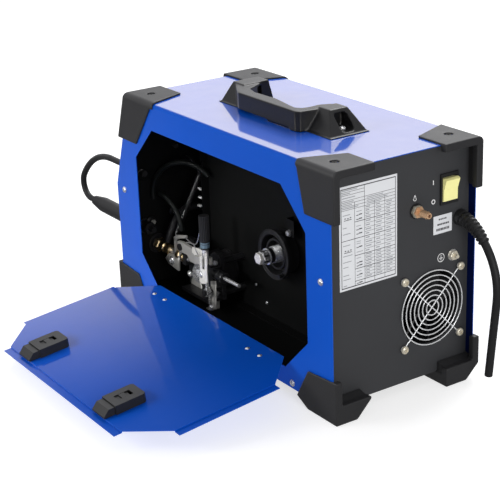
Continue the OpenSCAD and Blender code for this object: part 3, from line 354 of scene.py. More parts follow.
def lights():
    panel = dict(kind="AREA", shape="RECTANGLE")
    add_light(name="key", place=(-1.5, -1.0, 2.5), target=(0, 0, 0.25), power=62,
              size=1.8, size_y=1.8, **panel)
    add_light(name="side", place=(2.4, -0.9, 1.25), target=(0.13, -0.02, 0.30), power=32,
              size=1.3, size_y=0.9, **panel)
    add_light(kind="SPOT", name="bay", place=(1.7, 0.35, 0.75), target=(0.075, -0.145, 0.105),
              power=170, spot_size=math.radians(7.2), spot_blend=0.55, shadow_soft_size=0.16)
    add_light(name="rear", place=(0.6, 2.7, 0.9), target=(0, 0.28, 0.20), power=26,
              size=1.3, size_y=0.9, **panel)


def world():
    """Reflections see two soft glows, diffuse rays an even sky, the camera plain white."""
    studio = bpy.data.worlds.new("studio")
    bpy.context.scene.world = studio
    studio.use_nodes = True
    tree = studio.node_tree
    direction = node(tree, "TexCoord").outputs["Generated"]
    glow_side = Vector((-0.514, -0.782, 0.353)).normalized()
    toward = node(tree, "VectorMath", {1: glow_side, 0: direction}, operation="DOT_PRODUCT")
    side_glow = map_range(tree, toward.outputs["Value"], (0.25, 0.92), (0.42, 1.15),
                          interpolation_type="SMOOTHSTEP")
    height = node(tree, "SeparateXYZ", {0: direction}).outputs["Z"]
    horizon = map_range(tree, height, (-0.05, 0.06), (0.55, 1.0))
    overhead = map_range(tree, height, (0.40, 0.78), (0.0, 0.8),
                         interpolation_type="SMOOTHSTEP")
    brighter = node(tree, "Math", {0: side_glow, 1: overhead}, operation="MAXIMUM")
    dimmed = node(tree, "Math", {0: brighter.outputs[0], 1: horizon}, operation="MULTIPLY")
    ray = node(tree, "LightPath")
    sky = node(tree, "Mix", {"A": 0.42, "Factor": ray.outputs["Is Glossy Ray"],
                             "B": dimmed.outputs[0]}, data_type="FLOAT")
    seen = node(tree, "Mix", {"B": 1.05, "Factor": ray.outputs["Is Camera Ray"],
                              "A": sky.outputs["Result"]}, data_type="FLOAT")
    background = tree.nodes["Background"]
    link(tree, seen.outputs["Result"], background.inputs["Strength"])
    background.inputs["Color"].default_value = (0.98, 0.98, 1.0, 1)


def camera():
    """Looks down at the rear face and the open bay, from +X and +Y."""
    cam = bpy.data.cameras.new("cam")
    cam.sensor_width = 36.0
    cam.lens = 101.024424
    cam.clip_start = 0.05
    cam.clip_end = 60
    obj = new_object("cam", cam)
    azimuth, elevation, roll = (math.radians(a) for a in (146.698, 20.650, -2.177))
    distance = 2.3065
    target = Vector((0, -0.09732, 0.11418))
    back = Vector((math.sin(azimuth) * math.cos(elevation),
                   -math.cos(azimuth) * math.cos(elevation), math.sin(elevation)))
    level = (-back).cross(Vector(UP)).normalized()
    above = level.cross(-back)
    right = level * math.cos(roll) + above * math.sin(roll)
    top = -level * math.sin(roll) + above * math.cos(roll)
    pose = Matrix((right, top, back)).transposed().to_4x4()
    pose.translation = target + back * distance
    obj.matrix_world = pose
    bpy.context.scene.camera = obj


def view():
    settings = bpy.context.scene.view_settings
    settings.view_transform = "Standard"
    settings.look = "None"
    settings.exposure = 0.0


# ---------------------------------------------------------------- mesh helpers
def finish_mesh(name, bm, mat, body="case", smooth=35):
    """Turn bm into an object that rides on body. smooth: sharp-edge angle, 0 for flat."""
    bmesh.ops.recalc_face_normals(bm, faces=bm.faces)
    mesh = bpy.data.meshes.new(name)
    bm.to_mesh(mesh)
    bm.free()
    mesh.materials.append(mat)
    obj = new_object(name, mesh)
    if smooth:
        for face in mesh.polygons:
            face.use_smooth = True
        mesh.set_sharp_from_angle(angle=math.radians(smooth))
    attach(obj, body)
    return obj


def round_edges(obj, width):
    rounding = obj.modifiers.new("round", "BEVEL")
    rounding.width = width * MM
    rounding.segments = 2
    rounding.limit_method = "ANGLE"
    rounding.angle_limit = math.radians(32)
    rounding.use_clamp_overlap = True
    rounding.harden_normals = False
    rounding.miter_outer = "MITER_ARC"


def apply_modifiers(obj):
    bpy.context.view_layer.update()
    graph = bpy.context.evaluated_depsgraph_get()
    mesh = bpy.data.meshes.new_from_object(obj.evaluated_get(graph))
    obj.modifiers.clear()
    obj.data = mesh


def angles(count):
    return [TURN * i / count for i in range(count)]


def add_box(bm, low, high, pose=None):
    low, high = Vector(low) * MM, Vector(high) * MM
    verts = []
    for z in (low.z, high.z):
        for x, y in ((low.x, low.y), (high.x, low.y), (high.x, high.y), (low.x, high.y)):
            point = Vector((x, y, z))
            verts.append(bm.verts.new(pose @ point if pose else point))
    for face in ((0, 3, 2, 1), (4, 5, 6, 7), (0, 1, 5, 4), (1, 2, 6, 5), (2, 3, 7, 6),
                 (3, 0, 4, 7)):
        bm.faces.new([verts[i] for i in face])


def pose_along(place, axis):
    """A pose at place whose z lies along axis."""
    z = Vector(axis).normalized()
    up = Vector(UP)
    if abs(z.dot(up)) > 0.98:
        up = Vector(ALONG_Y)
    x = up.cross(z).normalized()
    pose = Matrix((x, z.cross(x), z)).transposed().to_4x4()
    pose.translation = Vector(place) * MM
    return pose


def add_lathe(bm, profile, pose, sides):
    """Turn a profile of (radius, height) about z. Open ends are capped."""
    rings = []
    for radius, height in profile:
        if radius <= 1e-6:
            rings.append([bm.verts.new(pose @ Vector((0, 0, height * MM)))])
        else:
            rings.append([bm.verts.new(pose @ Vector((
                radius * MM * math.cos(a), radius * MM * math.sin(a), height * MM)))
                for a in angles(sides)])
    for lower, upper in zip(rings, rings[1:]):
        if len(lower) == 1 and len(upper) == 1:
            continue
        for i in range(sides):
            j = (i + 1) % sides
            if len(lower) == 1:
                bm.faces.new((lower[0], upper[i], upper[j]))
            elif len(upper) == 1:
                bm.faces.new((lower[i], upper[0], lower[j]))
            else:
                bm.faces.new((lower[i], upper[i], upper[j], lower[j]))
    for end in (rings[0], rings[-1]):
        if len(end) > 1:
            bm.faces.new(end)


def lathe(name, profile, place, axis, mat, body="case", sides=40, smooth=35):
    bm = bmesh.new()
    add_lathe(bm, profile, pose_along(place, axis), sides)
    return finish_mesh(name, bm, mat, body, smooth)


def hex_nut(name, profile, place, axis, mat):
    lathe(name, profile, place, axis, mat, sides=6, smooth=20)


def join_rings(bm, first, second):
    count = len(first)
    for i in range(count):
        j = (i + 1) % count
        bm.faces.new((first[i], first[j], second[j], second[i]))


def spline(p0, p1, p2, p3, t):
    """Catmull-Rom point between p1 and p2."""
    return 0.5 * ((2 * p1) + (p2 - p0) * t + (2 * p0 - 5 * p1 + 4 * p2 - p3) * t * t
                  + (3 * p1 - p0 - 3 * p2 + p3) * t ** 3)


def tube(name, points, radius, mat, body="case", steps=10, sides=14):
    """A round tube on a smooth line through the points, closed at both ends."""
    knots = [Vector(p) * MM for p in points]
    last = len(knots) - 1
    path = []
    for i in range(last):
        around = (knots[max(0, i - 1)], knots[i], knots[i + 1], knots[min(last, i + 2)])
        path += [spline(*around, k / steps) for k in range(steps)]
    path.append(knots[-1])
    bm = bmesh.new()
    side = Vector((0.13, 0.31, 0.94))
    rings = []
    for i, centre in enumerate(path):
        ahead = (path[min(i + 1, len(path) - 1)] - path[max(i - 1, 0)]).normalized()
        side = (side - ahead * side.dot(ahead)).normalized()
        other = ahead.cross(side)
        rings.append([bm.verts.new(
            centre + (side * math.cos(a) + other * math.sin(a)) * radius * MM)
            for a in angles(sides)])
    for first, second in zip(rings, rings[1:]):
        join_rings(bm, first, second)
    bm.faces.new(rings[0])
    bm.faces.new(rings[-1])
    finish_mesh(name, bm, mat, body, 60)


def prism(bm, outline, start, end, axis="x"):
    """A closed outline, (y, z) for axis x or (x, z) for axis y, from start to end."""
    def ring(depth):
        return [bm.verts.new(Vector((depth, u, v) if axis == "x" else (u, depth, v)) * MM)
                for u, v in outline]
    low = ring(start)
    high = ring(end)
    bm.faces.new(low)
    bm.faces.new(high)
    join_rings(bm, low, high)


def plate(name, mat, rounding, outlines=(), span=None, boxes=(), body="case"):
    """Flat outlines (y, z) over the x span, with extra boxes, and rounded edges."""
    bm = bmesh.new()
    for outline in outlines:
        prism(bm, outline, *span)
    for low, high in boxes:
        add_box(bm, low, high)
    round_edges(finish_mesh(name, bm, mat, body, 30), rounding)


def add_torus(bm, pose, radius, wire, seg, sides):
    rings = []
    for a in angles(seg):
        ring = []
        for b in angles(sides):
            reach = radius + wire * math.cos(b)
            point = Vector((reach * math.cos(a), reach * math.sin(a), wire * math.sin(b)))
            ring.append(bm.verts.new(pose @ (point * MM)))
        rings.append(ring)
    for i in range(seg):
        here, after = rings[i], rings[(i + 1) % seg]
        for j in range(sides):
            k = (j + 1) % sides
            bm.faces.new((here[j], after[j], after[k], here[k]))


def pan_head(name, place, axis, radius, height, mat=STEEL, turn=0.0, washer=0.0, body="case"):
    """A domed screw head with a cross recess, on a washer if it has a radius."""
    bm = bmesh.new()
    pose = pose_along(place, axis) @ Matrix.Rotation(turn, 4, "Z")
    if washer:
        add_lathe(bm, [(0, -0.3), (washer, -0.3), (washer, 0.5), (0, 0.5)], pose, 28)
    dome = [(0, -0.2), (radius, -0.2), (radius, height * 0.28), (radius * 0.94, height * 0.62),
            (radius * 0.74, height * 0.88), (radius * 0.42, height), (0, height * 1.02)]
    add_lathe(bm, dome, pose, 28)
    head = finish_mesh(name, bm, mat, body, 40)

    cutter_bm = bmesh.new()
    length, width = radius * 0.62, radius * 0.17
    for a in (0, math.pi / 2):
        add_box(cutter_bm, (-length, -width, height * 0.45), (length, width, height * 1.6),
                pose @ Matrix.Rotation(a, 4, "Z"))
    mesh = bpy.data.meshes.new(name + "_cut")
    cutter_bm.to_mesh(mesh)
    cutter_bm.free()
    cutter = new_object(name + "_cut", mesh)
    recess = head.modifiers.new("recess", "BOOLEAN")
    recess.operation = "DIFFERENCE"
    recess.solver = "EXACT"
    recess.use_self = True
    recess.object = cutter
    apply_modifiers(head)
    bpy.data.objects.remove(cutter)


def mould(source, name, voxel, mat, smoothing, extra_box=None):
    """A soft-edged copy of a CAD piece, in its place and at its size."""
    mesh = CAD[source].data.copy()
    obj = new_object(name, mesh)
    obj.matrix_world = CAD[source].matrix_world.copy()
    if extra_box:
        bm = bmesh.new()
        bm.from_mesh(mesh)
        add_box(bm, *extra_box)
        bm.to_mesh(mesh)
        bm.free()
    voxels = obj.modifiers.new("vox", "REMESH")
    voxels.mode = "VOXEL"
    voxels.voxel_size = voxel * MM
    soften = obj.modifiers.new("soft", "SMOOTH")
    soften.factor = 0.5
    soften.iterations = smoothing
    apply_modifiers(obj)
    obj.data.materials.clear()
    obj.data.materials.append(mat)
    for face in obj.data.polygons:
        face.use_smooth = True
    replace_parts(obj, source)
    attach(obj, "case")


# ---------------------------------------------------------------- cabinet
SIDE_SCREWS = ((-273.5, 202), (273.5, 207), (200, 26), (-200, 26))  # y, z


def corners():
    for name in sorted(CAD):
        if name.startswith(("guard_rear", "guard_front")) and "screw" not in name:
            mould(name, name.replace("guard", "corner"), 1.15, GUARD, 7)
        elif name.startswith("foot_"):
            mould(name, name.replace("foot", "corner_foot"), 1.3, GUARD, 8)
    for name in ("switch_bezel", "latch_housings", "latch_bolt_front", "latch_bolt_rear"):
        round_edges(CAD[name], 0.6)


def foot_pads():
    pad = [(4.2, -0.3), (8.6, -0.3), (9.2, 0.2), (9.2, 1.0), (4.2, 1.0)]
    for sx, sy in CORNERS:
        lathe("foot_pad_%d_%d" % (sx, sy), pad, (sx * 102, sy * 272, 0), UP, RUBBER, sides=36)


def case_screws():
    for sx in (-1, 1):
        for y in (-216, 270):
            pan_head("guard_head_%d_%d" % (sx, y), (sx * 101, y, 369.3), UP, 4.2, 2.0, BAY_BLACK_AND_SHADE)
    for sx in (-1, 1):
        for k, (y, z) in enumerate(SIDE_SCREWS):
            pan_head("side_head_%d_%d" % (sx, k), (sx * 130.3, y, z), (sx, 0, 0), 4.4, 2.6,
                     turn=0.5 * k, washer=5.3)


# ---------------------------------------------------------------- labels
LABEL_LEFT, LABEL_TOP = 105.5, 339.5  # x and z, as seen from behind the machine
LABEL_WIDTH, LABEL_HEIGHT = 101, 151
INK_BACK, INK_FACE = REAR_Y + 0.36, REAR_Y + 0.50
BAND_EDGES = (0.225, 0.355, 0.515, 0.68, 0.81, 0.93)  # down the label, as a share of it
BANDS = tuple(zip(BAND_EDGES, BAND_EDGES[1:]))


def label_mark(bm, left, right, top, bottom):
    """A bar on the rating label, placed by shares of its width and height."""
    add_box(bm, (LABEL_LEFT - LABEL_WIDTH * right, INK_BACK, LABEL_TOP - LABEL_HEIGHT * bottom),
            (LABEL_LEFT - LABEL_WIDTH * left, INK_FACE, LABEL_TOP - LABEL_HEIGHT * top))


def label_lines():
    bm = bmesh.new()
    border = 0.00868
    for top in (0.022, 0.972):
        label_mark(bm, 0.03, 0.97, top, top + border)
    for left in (0.03, 0.965):
        label_mark(bm, left, 0.0395 if left == 0.03 else 0.9745, 0.022, 0.98)
    for top in (0.055, 0.085, 0.135, 0.165, 0.195, 0.225):
        label_mark(bm, 0.035, 0.43 if top < 0.12 else 0.97, top, top + 0.0035)
    for left, top in ((0.43, 0.022), (0.26, 0.165), (0.60, 0.195), (0.78, 0.165)):
        label_mark(bm, left, left + 0.0055, top, 0.975)
    for top in BAND_EDGES[1:]:
        label_mark(bm, 0.035 if top == 0.515 else 0.26, 0.97, top, top + 0.0055)
    for start, end in BANDS:
        for i in range(1, 4):
            top = start + (end - start) * i / 4
            label_mark(bm, 0.43, 0.97, top, top + 0.0028)
    # Stepped dashes over a bar, then pairs of dashes. There is no lettering.
    for top in (0.30, 0.61):
        for i in range(3):
            step = 0.004 * (i % 2)
            label_mark(bm, 0.09 + 0.045 * i, 0.115 + 0.045 * i, top + step, top + 0.009 + step)
        label_mark(bm, 0.08, 0.21, top + 0.02, top + 0.026)
    for top in (0.29, 0.33, 0.43, 0.47, 0.60, 0.75, 0.78, 0.87, 0.95):
        label_mark(bm, 0.29, 0.33, top + 0.006, top + 0.013)
        label_mark(bm, 0.335, 0.39, top, top + 0.010)
    finish_mesh("label_lines", bm, INK, smooth=0)


def label_rows():
    """Grey bars of random length in place of the text."""
    bm = bmesh.new()
    for start, end in BANDS:
        for i in range(4):
            middle = start + (end - start) * (i + 0.5) / 4
            for left in (0.45, 0.63, 0.81):
                width = 0.06 + 0.06 * rnd.random()
                label_mark(bm, left, left + width, middle - 0.005, middle + 0.005)
    for top in (0.036, 0.068, 0.108, 0.148, 0.178, 0.207):
        label_mark(bm, 0.05, 0.12 + 0.22 * rnd.random(), top, top + 0.008)
        if top > 0.12:
            label_mark(bm, 0.47, 0.58 + 0.3 * rnd.random(), top, top + 0.008)
    for top in (0.27, 0.39, 0.45, 0.56, 0.66, 0.72, 0.77, 0.85, 0.89, 0.95):
        label_mark(bm, 0.06, 0.12 + 0.10 * rnd.random(), top, top + 0.007)
    for top in (0.26, 0.40, 0.55, 0.57, 0.65, 0.71, 0.84, 0.90):
        label_mark(bm, 0.29, 0.36 + 0.05 * rnd.random(), top, top + 0.006)
    finish_mesh("label_rows", bm, INK_GREY, smooth=0)


def small_label_rows():
    bm = bmesh.new()
    centre_x = -79.75
    for i, (width, height) in enumerate(((14, 2.2), (23, 2.6), (24, 3.6))):
        z = 254.5 - i * 7.6
        x = centre_x - width / 2
        while x < centre_x + width / 2 - 1.5:
            dash = 1.6 + rnd.random() * 1.2
            add_box(bm, (x, INK_BACK, z - height / 2), (x + dash, INK_FACE, z + height / 2))
            x += dash + 0.8
    finish_mesh("small_label_rows", bm, INK, smooth=0)


# ---------------------------------------------------------------- printed marks
def add_flat_ring(bm, x, z, inner, outer, back, face):
    section = ((inner, back), (outer, back), (outer, face), (inner, face))
    rings = [[bm.verts.new(Vector((x + r * math.cos(a), y, z + r * math.sin(a))) * MM)
              for r, y in section] for a in angles(28)]
    for first, second in zip(rings, rings[1:] + rings[:1]):
        join_rings(bm, first, second)


def rear_marks():
    back, face = REAR_Y - 0.05, REAR_Y + 0.12
    bm = bmesh.new()
    # A bar above a ring, beside the mains switch.
    add_box(bm, (-62.4, back, 308.8), (-60.8, face, 315.2))
    add_flat_ring(bm, -62, 283.4, 2.2, 3.6, back, face)
    # Ground sign: a ring, a stem and three bars.
    x, z = -77.6, 195.3
    add_flat_ring(bm, x, z, 5.6, 6.6, back, face)
    add_box(bm, (x - 0.5, back, z), (x + 0.5, face, 199.6))
    for i, half in enumerate((3.4, 2.3, 1.1)):
        add_box(bm, (x - half, back, 194.6 - i * 1.6), (x + half, face, 195.4 - i * 1.6))
    # Drop above the gas fitting.
    add_flat_ring(bm, -28, 294.8, 2.0, 3.0, back, face)
    prism(bm, [(-30.6, 296.2), (-25.4, 296.2), (-28, 301.2)], back, face, "y")
    finish_mesh("rear_marks", bm, WHITE_MARKS_AND_GLINTS, smooth=0)


def dial_marks():
    """Ticks round the two knobs, and a line above and below each display."""
    bm = bmesh.new()
    radius = 19
    for knob_x in (-42, 34):
        for i in range(11):
            a = math.radians(225 - 27 * i)
            place = Vector((knob_x + radius * math.cos(a), 62 + radius * math.sin(a), 0)) * MM
            pose = LEAN @ Matrix.Translation(place) @ Matrix.Rotation(a, 4, "Z")
            half = 1.6 if i % 5 else 2.4
            add_box(bm, (-half, -0.35, 1.95), (half, 0.35, 2.12), pose)
    for left, right in ((-94, -22), (-12, 60)):
        for low, high in ((144, 144.7), (95.3, 96)):
            add_box(bm, (left, low, 1.95), (right, high, 2.1), LEAN)
    finish_mesh("dial_marks", bm, WHITE_MARKS_AND_GLINTS, smooth=0)


def display_segments():
    """Seven-segment digits: a top, b and c on +x, d bottom, e and f on -x, g middle."""
    lit_bars = {"0": "abcdef", "1": "bc", "2": "abged", "5": "afgcd", "8": "abcdefg"}
    width, height, thick, pitch, gap = 11, 27, 1.9, 17, 0.4
    middle = height / 2
    bars = {  # low x, low y, high x, high y from the digit's corner
        "a": (thick, height - thick, width - thick, height),
        "b": (width - thick, middle + gap, width, height - thick),
        "c": (width - thick, thick, width, middle - gap),
        "d": (thick, 0, width - thick, thick),
        "e": (0, thick, thick, middle - gap),
        "f": (0, middle + gap, thick, height - thick),
        "g": (thick, middle - thick / 2, width - thick, middle + thick / 2),
    }
    y = 106.5
    bm = bmesh.new()
    for start, word in ((-80, "120"), (2, "185")):
        for k, digit in enumerate(word):
            x = start + k * pitch
            for bar in lit_bars[digit]:
                x0, y0, x1, y1 = bars[bar]
                add_box(bm, (x + x0, y + y0, 1.66), (x + x1, y + y1, 1.8), LEAN)
    lit = material("display_segment", color=(0.5, 0.03, 0.02), rough=0.4,
                   glow=((1.0, 0.08, 0.04), 1.6))
    finish_mesh("display_segments", bm, lit, smooth=0)


def lamps():
    dome = [(0, -0.4), (2.4, -0.4), (2.4, 1.2), (1.7, 2.2), (0, 2.7)]
    for i, (x, mat) in enumerate(((-70, RED), (-4, AMBER), (46, RED))):
        place = (LEAN @ (Vector((x, 44, 1.9)) * MM)) / MM
        lathe("lamp_%d" % i, dome, place, PANEL_OUT, mat, sides=20)


# ---------------------------------------------------------------- carrying handle
def handle():
    # The extra box fills the gap under the grip's outer side: a dark sheet standing in for the
    # shade there.
    mould("carry_handle", "handle_grip", 1.1, HANDLE, 5, ((44, 40, 370.9), (51.2, 112, 377)))
    bolt = [(0, 0), (4.6, 0), (4.6, 2.4), (3.6, 3.6), (2.2, 3.8), (2.2, 2.4), (0, 2.4)]
    lathe("handle_bolt_rear", bolt, (2, 159, 375.2), (0, 0.25, 1), STEEL, sides=24)


# ---------------------------------------------------------------- wire drive
def inlet_clamp():
    """Inverted L bracket and lever at the -Y end of the drive."""
    plate("inlet_bracket", CAST, 0.5,
          [[(-226, 62), (-219, 62), (-219, 112), (-214, 117), (-184, 126), (-184, 131),
            (-216, 123), (-226, 117)]], (66, 69), boxes=[((60, -226, 113), (69, -219, 116))])
    plate("clamp_lever", CAST, 0.8,
          [[(-249, 74), (-240, 66), (-206, 62), (-203, 84), (-214, 88), (-236, 86)]],
          (71, 74.5))
    pan_head("clamp_bolt", (74.5, -226, 76), ALONG_X, 6.2, 3.4, turn=0.4, washer=8)
    # y, z, radius
    for k, (y, z, r) in enumerate(((-190, 60, 4.8), (-106, 104, 4.4), (-106, 50, 4.4))):
        hex_nut("frame_nut_%d" % k, [(0, 0), (r, 0), (r, 3.6), (r - 0.9, 4.4), (0, 4.4)],
                (60.6, y, z), ALONG_X, STEEL)


def brass_blocks():
    lathe("brass_block_a",
          [(0, 0), (8.2, 0), (9, 0.8), (9, 9), (7, 10), (7, 15), (8.6, 16), (8.6, 22),
           (7.8, 23), (0, 23)], (WIRE_X, -216, WIRE_Z), ALONG_Y, BRASS, sides=36)
    hex_nut("brass_block_b",
            [(0, 0), (11.5, 0), (12.5, 1), (12.5, 10), (10, 11.5), (10, 17), (0, 17)],
            (WIRE_X, -281, WIRE_Z), ALONG_Y, BRASS)
    lathe("brass_block_c",
          [(0, 0), (9.8, 0), (9.8, 7), (7.6, 8), (7.6, 18), (9, 19), (9, 25), (0, 25)],
          (WIRE_X, -263.5, WIRE_Z), ALONG_Y, BRASS, sides=36)


def lower_bracket():
    plate("lower_bracket", CAST, 0.5, boxes=[((53, -127, 20), (57.2, -114, 62)),
                                             ((53, -127, 18.6), (72, -114, 21))])
    for k, z in enumerate((30, 44)):
        pan_head("bracket_screw_%d" % k, (57.2, -120.5, z), ALONG_X, 3.6, 2.4, turn=0.7 * k)


def gear_cover():
    y, z, screw_circle = -178, 40, 12.5
    lathe("gear_cover", [(0, 0), (17, 0), (18, 1), (18, 6), (15.5, 8), (0, 8.6)],
          (50, y, z), ALONG_X, CAST)
    for k in range(3):
        a = math.radians(90 + 120 * k)
        place = (58, y + screw_circle * math.cos(a), z + screw_circle * math.sin(a))
        pan_head("cover_screw_%d" % k, place, ALONG_X, 2.2, 1.4)


def pressure_parts():
    """The grooved scale ring, the spring wires and the bright swinging clamp."""
    lathe("pressure_scale",
          [(7.45, 0), (7.9, 0), (7.9, 1.6), (7.5, 2.0), (7.5, 3.0), (7.9, 3.4), (7.9, 5.2),
           (7.5, 5.6), (7.5, 6.6), (7.9, 7), (7.9, 9), (7.45, 9)],
          (82, -104, 137), UP, PALE, "tension_nut", 30)
    tube("spring_wire_a", [(70, -186, 128), (74, -160, 126), (79, -136, 133), (80, -124, 152),
                           (80, -117, 172)], 0.9, STEEL, "pressure_lever")
    tube("spring_wire_b", [(70, -182, 120), (76, -150, 127), (84, -130, 124),
                           (88, -116, 121)], 0.9, STEEL, "pressure_lever")
    plate("clamp_end", NICKEL, 0.6,
          [[(-147, 115), (-134, 109.5), (-112, 117.6), (-111, 128), (-119, 128.6),
            (-146, 125)]], (79.2, 81.6), body="pressure_lever")
    plate("clamp_strap", NICKEL, 0.4,
          [[(-109, 79), (-103, 76.5), (-88, 80.5), (-84, 86), (-84.5, 104), (-106, 103)],
           [(-106, 102), (-99, 103), (-98, 126), (-105, 124)],
           [(-91.5, 104), (-84.5, 104), (-82, 135), (-89, 133)]],
          (91.4, 93.0), body="tension_lever")
    pan_head("strap_screw", (93, -102.5, 93), ALONG_X, 5.0, 3.0, turn=0.3, washer=6,
             body="tension_lever")


def support():
    plate("support_plate", CAST, 0.4, [[(-110, 24), (-94, 29), (-92, 79), (-108, 74)]],
          (71, 72.6))
    tube("support_rod", [(75.4, -107.5, 66), (75.4, -108.4, 50), (75.4, -109.6, 34)], 1.7,
         STEEL)
    pan_head("support_screw", (72.6, -110, 27), ALONG_X, 4.6, 3.2, turn=0.9, washer=5.6)
    lathe("guide_sleeve",
          [(5, -0.3), (9.1, -0.3), (9.1, 11.8), (8.0, 12.6), (8.0, 19), (9.4, 20),
           (9.4, 24.4), (8.6, 25.6), (3.4, 25.6)],
          (WIRE_X, -99.8, WIRE_Z), ALONG_Y, SATIN, sides=24)


def edge_glint_bars():
    """Three rounded white bars on the edge of the divider, a painted highlight for the light
    that shows through it there, and a wire below them.
    """
    # y, z, half length
    for k, (y, z, half) in enumerate(((-221.4, 190.5, 9.5), (-222.8, 174.8, 8.5),
                                      (-230, 158.8, 5))):
        bm = bmesh.new()
        add_box(bm, (9, y - half, z - 1.7), (14, y + half, z + 1.7))
        bmesh.ops.bevel(bm, geom=list(bm.edges), offset=1.2 * MM, segments=3, profile=0.5,
                        affect="EDGES")
        # Each bar is a painted highlight in plain white.
        finish_mesh("edge_glint_bar_%d" % k, bm, WHITE_MARKS_AND_GLINTS)
    tube("edge_wire", [(11, -212, 178), (12, -211, 160), (12, -214, 140), (12, -219, 128)],
         1.0, STEEL)


# ---------------------------------------------------------------- cables
WIRES = (  # name, radius, material, points
    ("wire_red", 1.5, RED_WIRE,
     [(-30, -270, 250), (-20, -250, 262), (-10, -226, 272), (-8, -205, 280)]),
    ("wire_blue", 1.5, BLUE_WIRE,
     [(-36, -270, 246), (-24, -252, 258), (-10, -230, 264), (-8, -207, 270)]),
    ("wire_black_a", 1.8, RUBBER,
     [(10, -268, 240), (12, -246, 236), (8, -228, 214), (6, -214, 196)]),
    ("motor_lead_red", 1.5, RED_WIRE,
     [(-90, -146, 76), (-104, -142, 84), (-104, -120, 120), (-70, -60, 180),
      (-30, -20, 200)]),
    ("motor_lead_black", 1.5, RUBBER,
     [(-90, -154, 68), (-108, -152, 78), (-108, -124, 126), (-74, -62, 190),
      (-30, -24, 212)]),
    ("coil_lead_a", 2.4, BLUE_WIRE,
     [(-80, 96, 92), (-74, 98, 120), (-50, 108, 150), (-30, 112, 176)]),
    ("coil_lead_b", 2.4, RED_WIRE,
     [(-88, 90, 92), (-84, 88, 130), (-60, 84, 160), (-34, 84, 180)]),
    ("fan_lead", 1.3, RED_WIRE,
     [(-112, 262, 176), (-104, 240, 196), (-70, 226, 220), (-24, 216, 230)]),
    ("switch_lead_a", 2.0, BLUE_WIRE,
     [(-84, 256, 300), (-70, 244, 312), (-40, 232, 316), (-18, 222, 312)]),
    ("switch_lead_b", 2.0, RED_WIRE,
     [(-96, 256, 290), (-84, 242, 300), (-50, 228, 300), (-18, 220, 300)]),
)
BAY_SCREWS = (  # y, z, radius
    (-38, 42, 3), (-68, 65, 2.6), (180, 60, 3), (200, 300, 3), (-150, 320, 3), (60, 326, 3),
)


def cables():
    tube("power_cable", [(66, -252, 100), (60, -250, 118), (46, -252, 138), (20, -258, 150),
                         (-20, -262, 140), (-58, -264, 104), (-70, -262, 84)], 6.0, RUBBER,
         steps=8, sides=18)
    for name, radius, mat, points in WIRES:
        tube(name, points, radius, mat)


def bay_fittings():
    y = -281
    for k, (x, z, nut_mat) in enumerate(((80, 133.5, CAST), (34.8, 141.6, STEEL))):
        lathe("boss_%d" % k,
              [(0, 0), (8, 0), (8, 3), (6.6, 4), (4.6, 4), (4.6, 7), (0, 7)],
              (x, y, z), ALONG_Y, SATIN, sides=32)
        hex_nut("boss_nut_%d" % k, [(0, 0), (4, 0), (4.4, 0.6), (4.4, 4), (0, 4)],
                (x, y + 6.6, z), ALONG_Y, nut_mat)
    for k, (y, z, radius) in enumerate(BAY_SCREWS):
        pan_head("bay_screw_%d" % k, (9.2, y, z), ALONG_X, radius, 1.8, turn=k)
    lathe("hub_side_screw", [(0, 0), (5.4, 0), (5.4, 3), (4, 5), (0, 5.4)],
          (21.9, 48.5, 190), ALONG_X, STEEL, sides=24)


# ---------------------------------------------------------------- reel hub
def hub():
    for k, (radius, wire) in enumerate(((40.0, 0.9), (33.6, 0.7))):
        bm = bmesh.new()
        add_torus(bm, pose_along((34, HUB_Y, HUB_Z), ALONG_X), radius, wire, 64, 8)
        finish_mesh("hub_ring_%d" % k, bm, BLACK, "reel_hub", 60)
    turns, per_turn, radius, length = 5, 14, 12.6, 17
    steps = turns * per_turn
    coil = []
    for i in range(steps + 1):
        a = TURN * i / per_turn
        coil.append((19.5 + length * i / steps, HUB_Y + radius * math.cos(a),
                     HUB_Z + radius * math.sin(a)))
    tube("hub_coil", coil, 1.25, STEEL, steps=3, sides=10)
    hex_nut("axle_nut",
            [(0, 0), (10.4, 0), (11.6, 1.2), (11.6, 8.6), (10.4, 10), (6.6, 10), (6.6, 9),
             (0, 9)], (48, HUB_Y, HUB_Z), ALONG_X, STEEL)
    hex_nut("axle_cap",
            [(0, 0), (9.0, 0), (9.8, 0.8), (9.8, 5.4), (8.8, 6.4), (4.4, 6.4), (4.4, 5.8),
             (0, 5.8)], (57.4, HUB_Y, HUB_Z), ALONG_X, NICKEL)
    lathe("axle_washer", [(6, 0), (13.2, 0), (13.2, 1.6), (6, 1.6)],
          (45.4, HUB_Y, HUB_Z), ALONG_X, STEEL)


# ---------------------------------------------------------------- rear
def fan_face():
    lathe("fan_hub_disc", [(0, 0), (15.5, 0), (16, 0.5), (16, 1.0), (0, 1.2)],
          (FAN_X, 279.4, FAN_Z), ALONG_Y, BAY_BLACK_AND_SHADE, "fan")
    for k, (sx, sz) in enumerate(CORNERS):
        place = (FAN_X + sx * FAN_PITCH, 287.6, FAN_Z + sz * FAN_PITCH)
        pan_head("fan_head_%d" % k, place, ALONG_Y, 6.2, 4.0, PALE_BRASS, turn=0.6 + k)


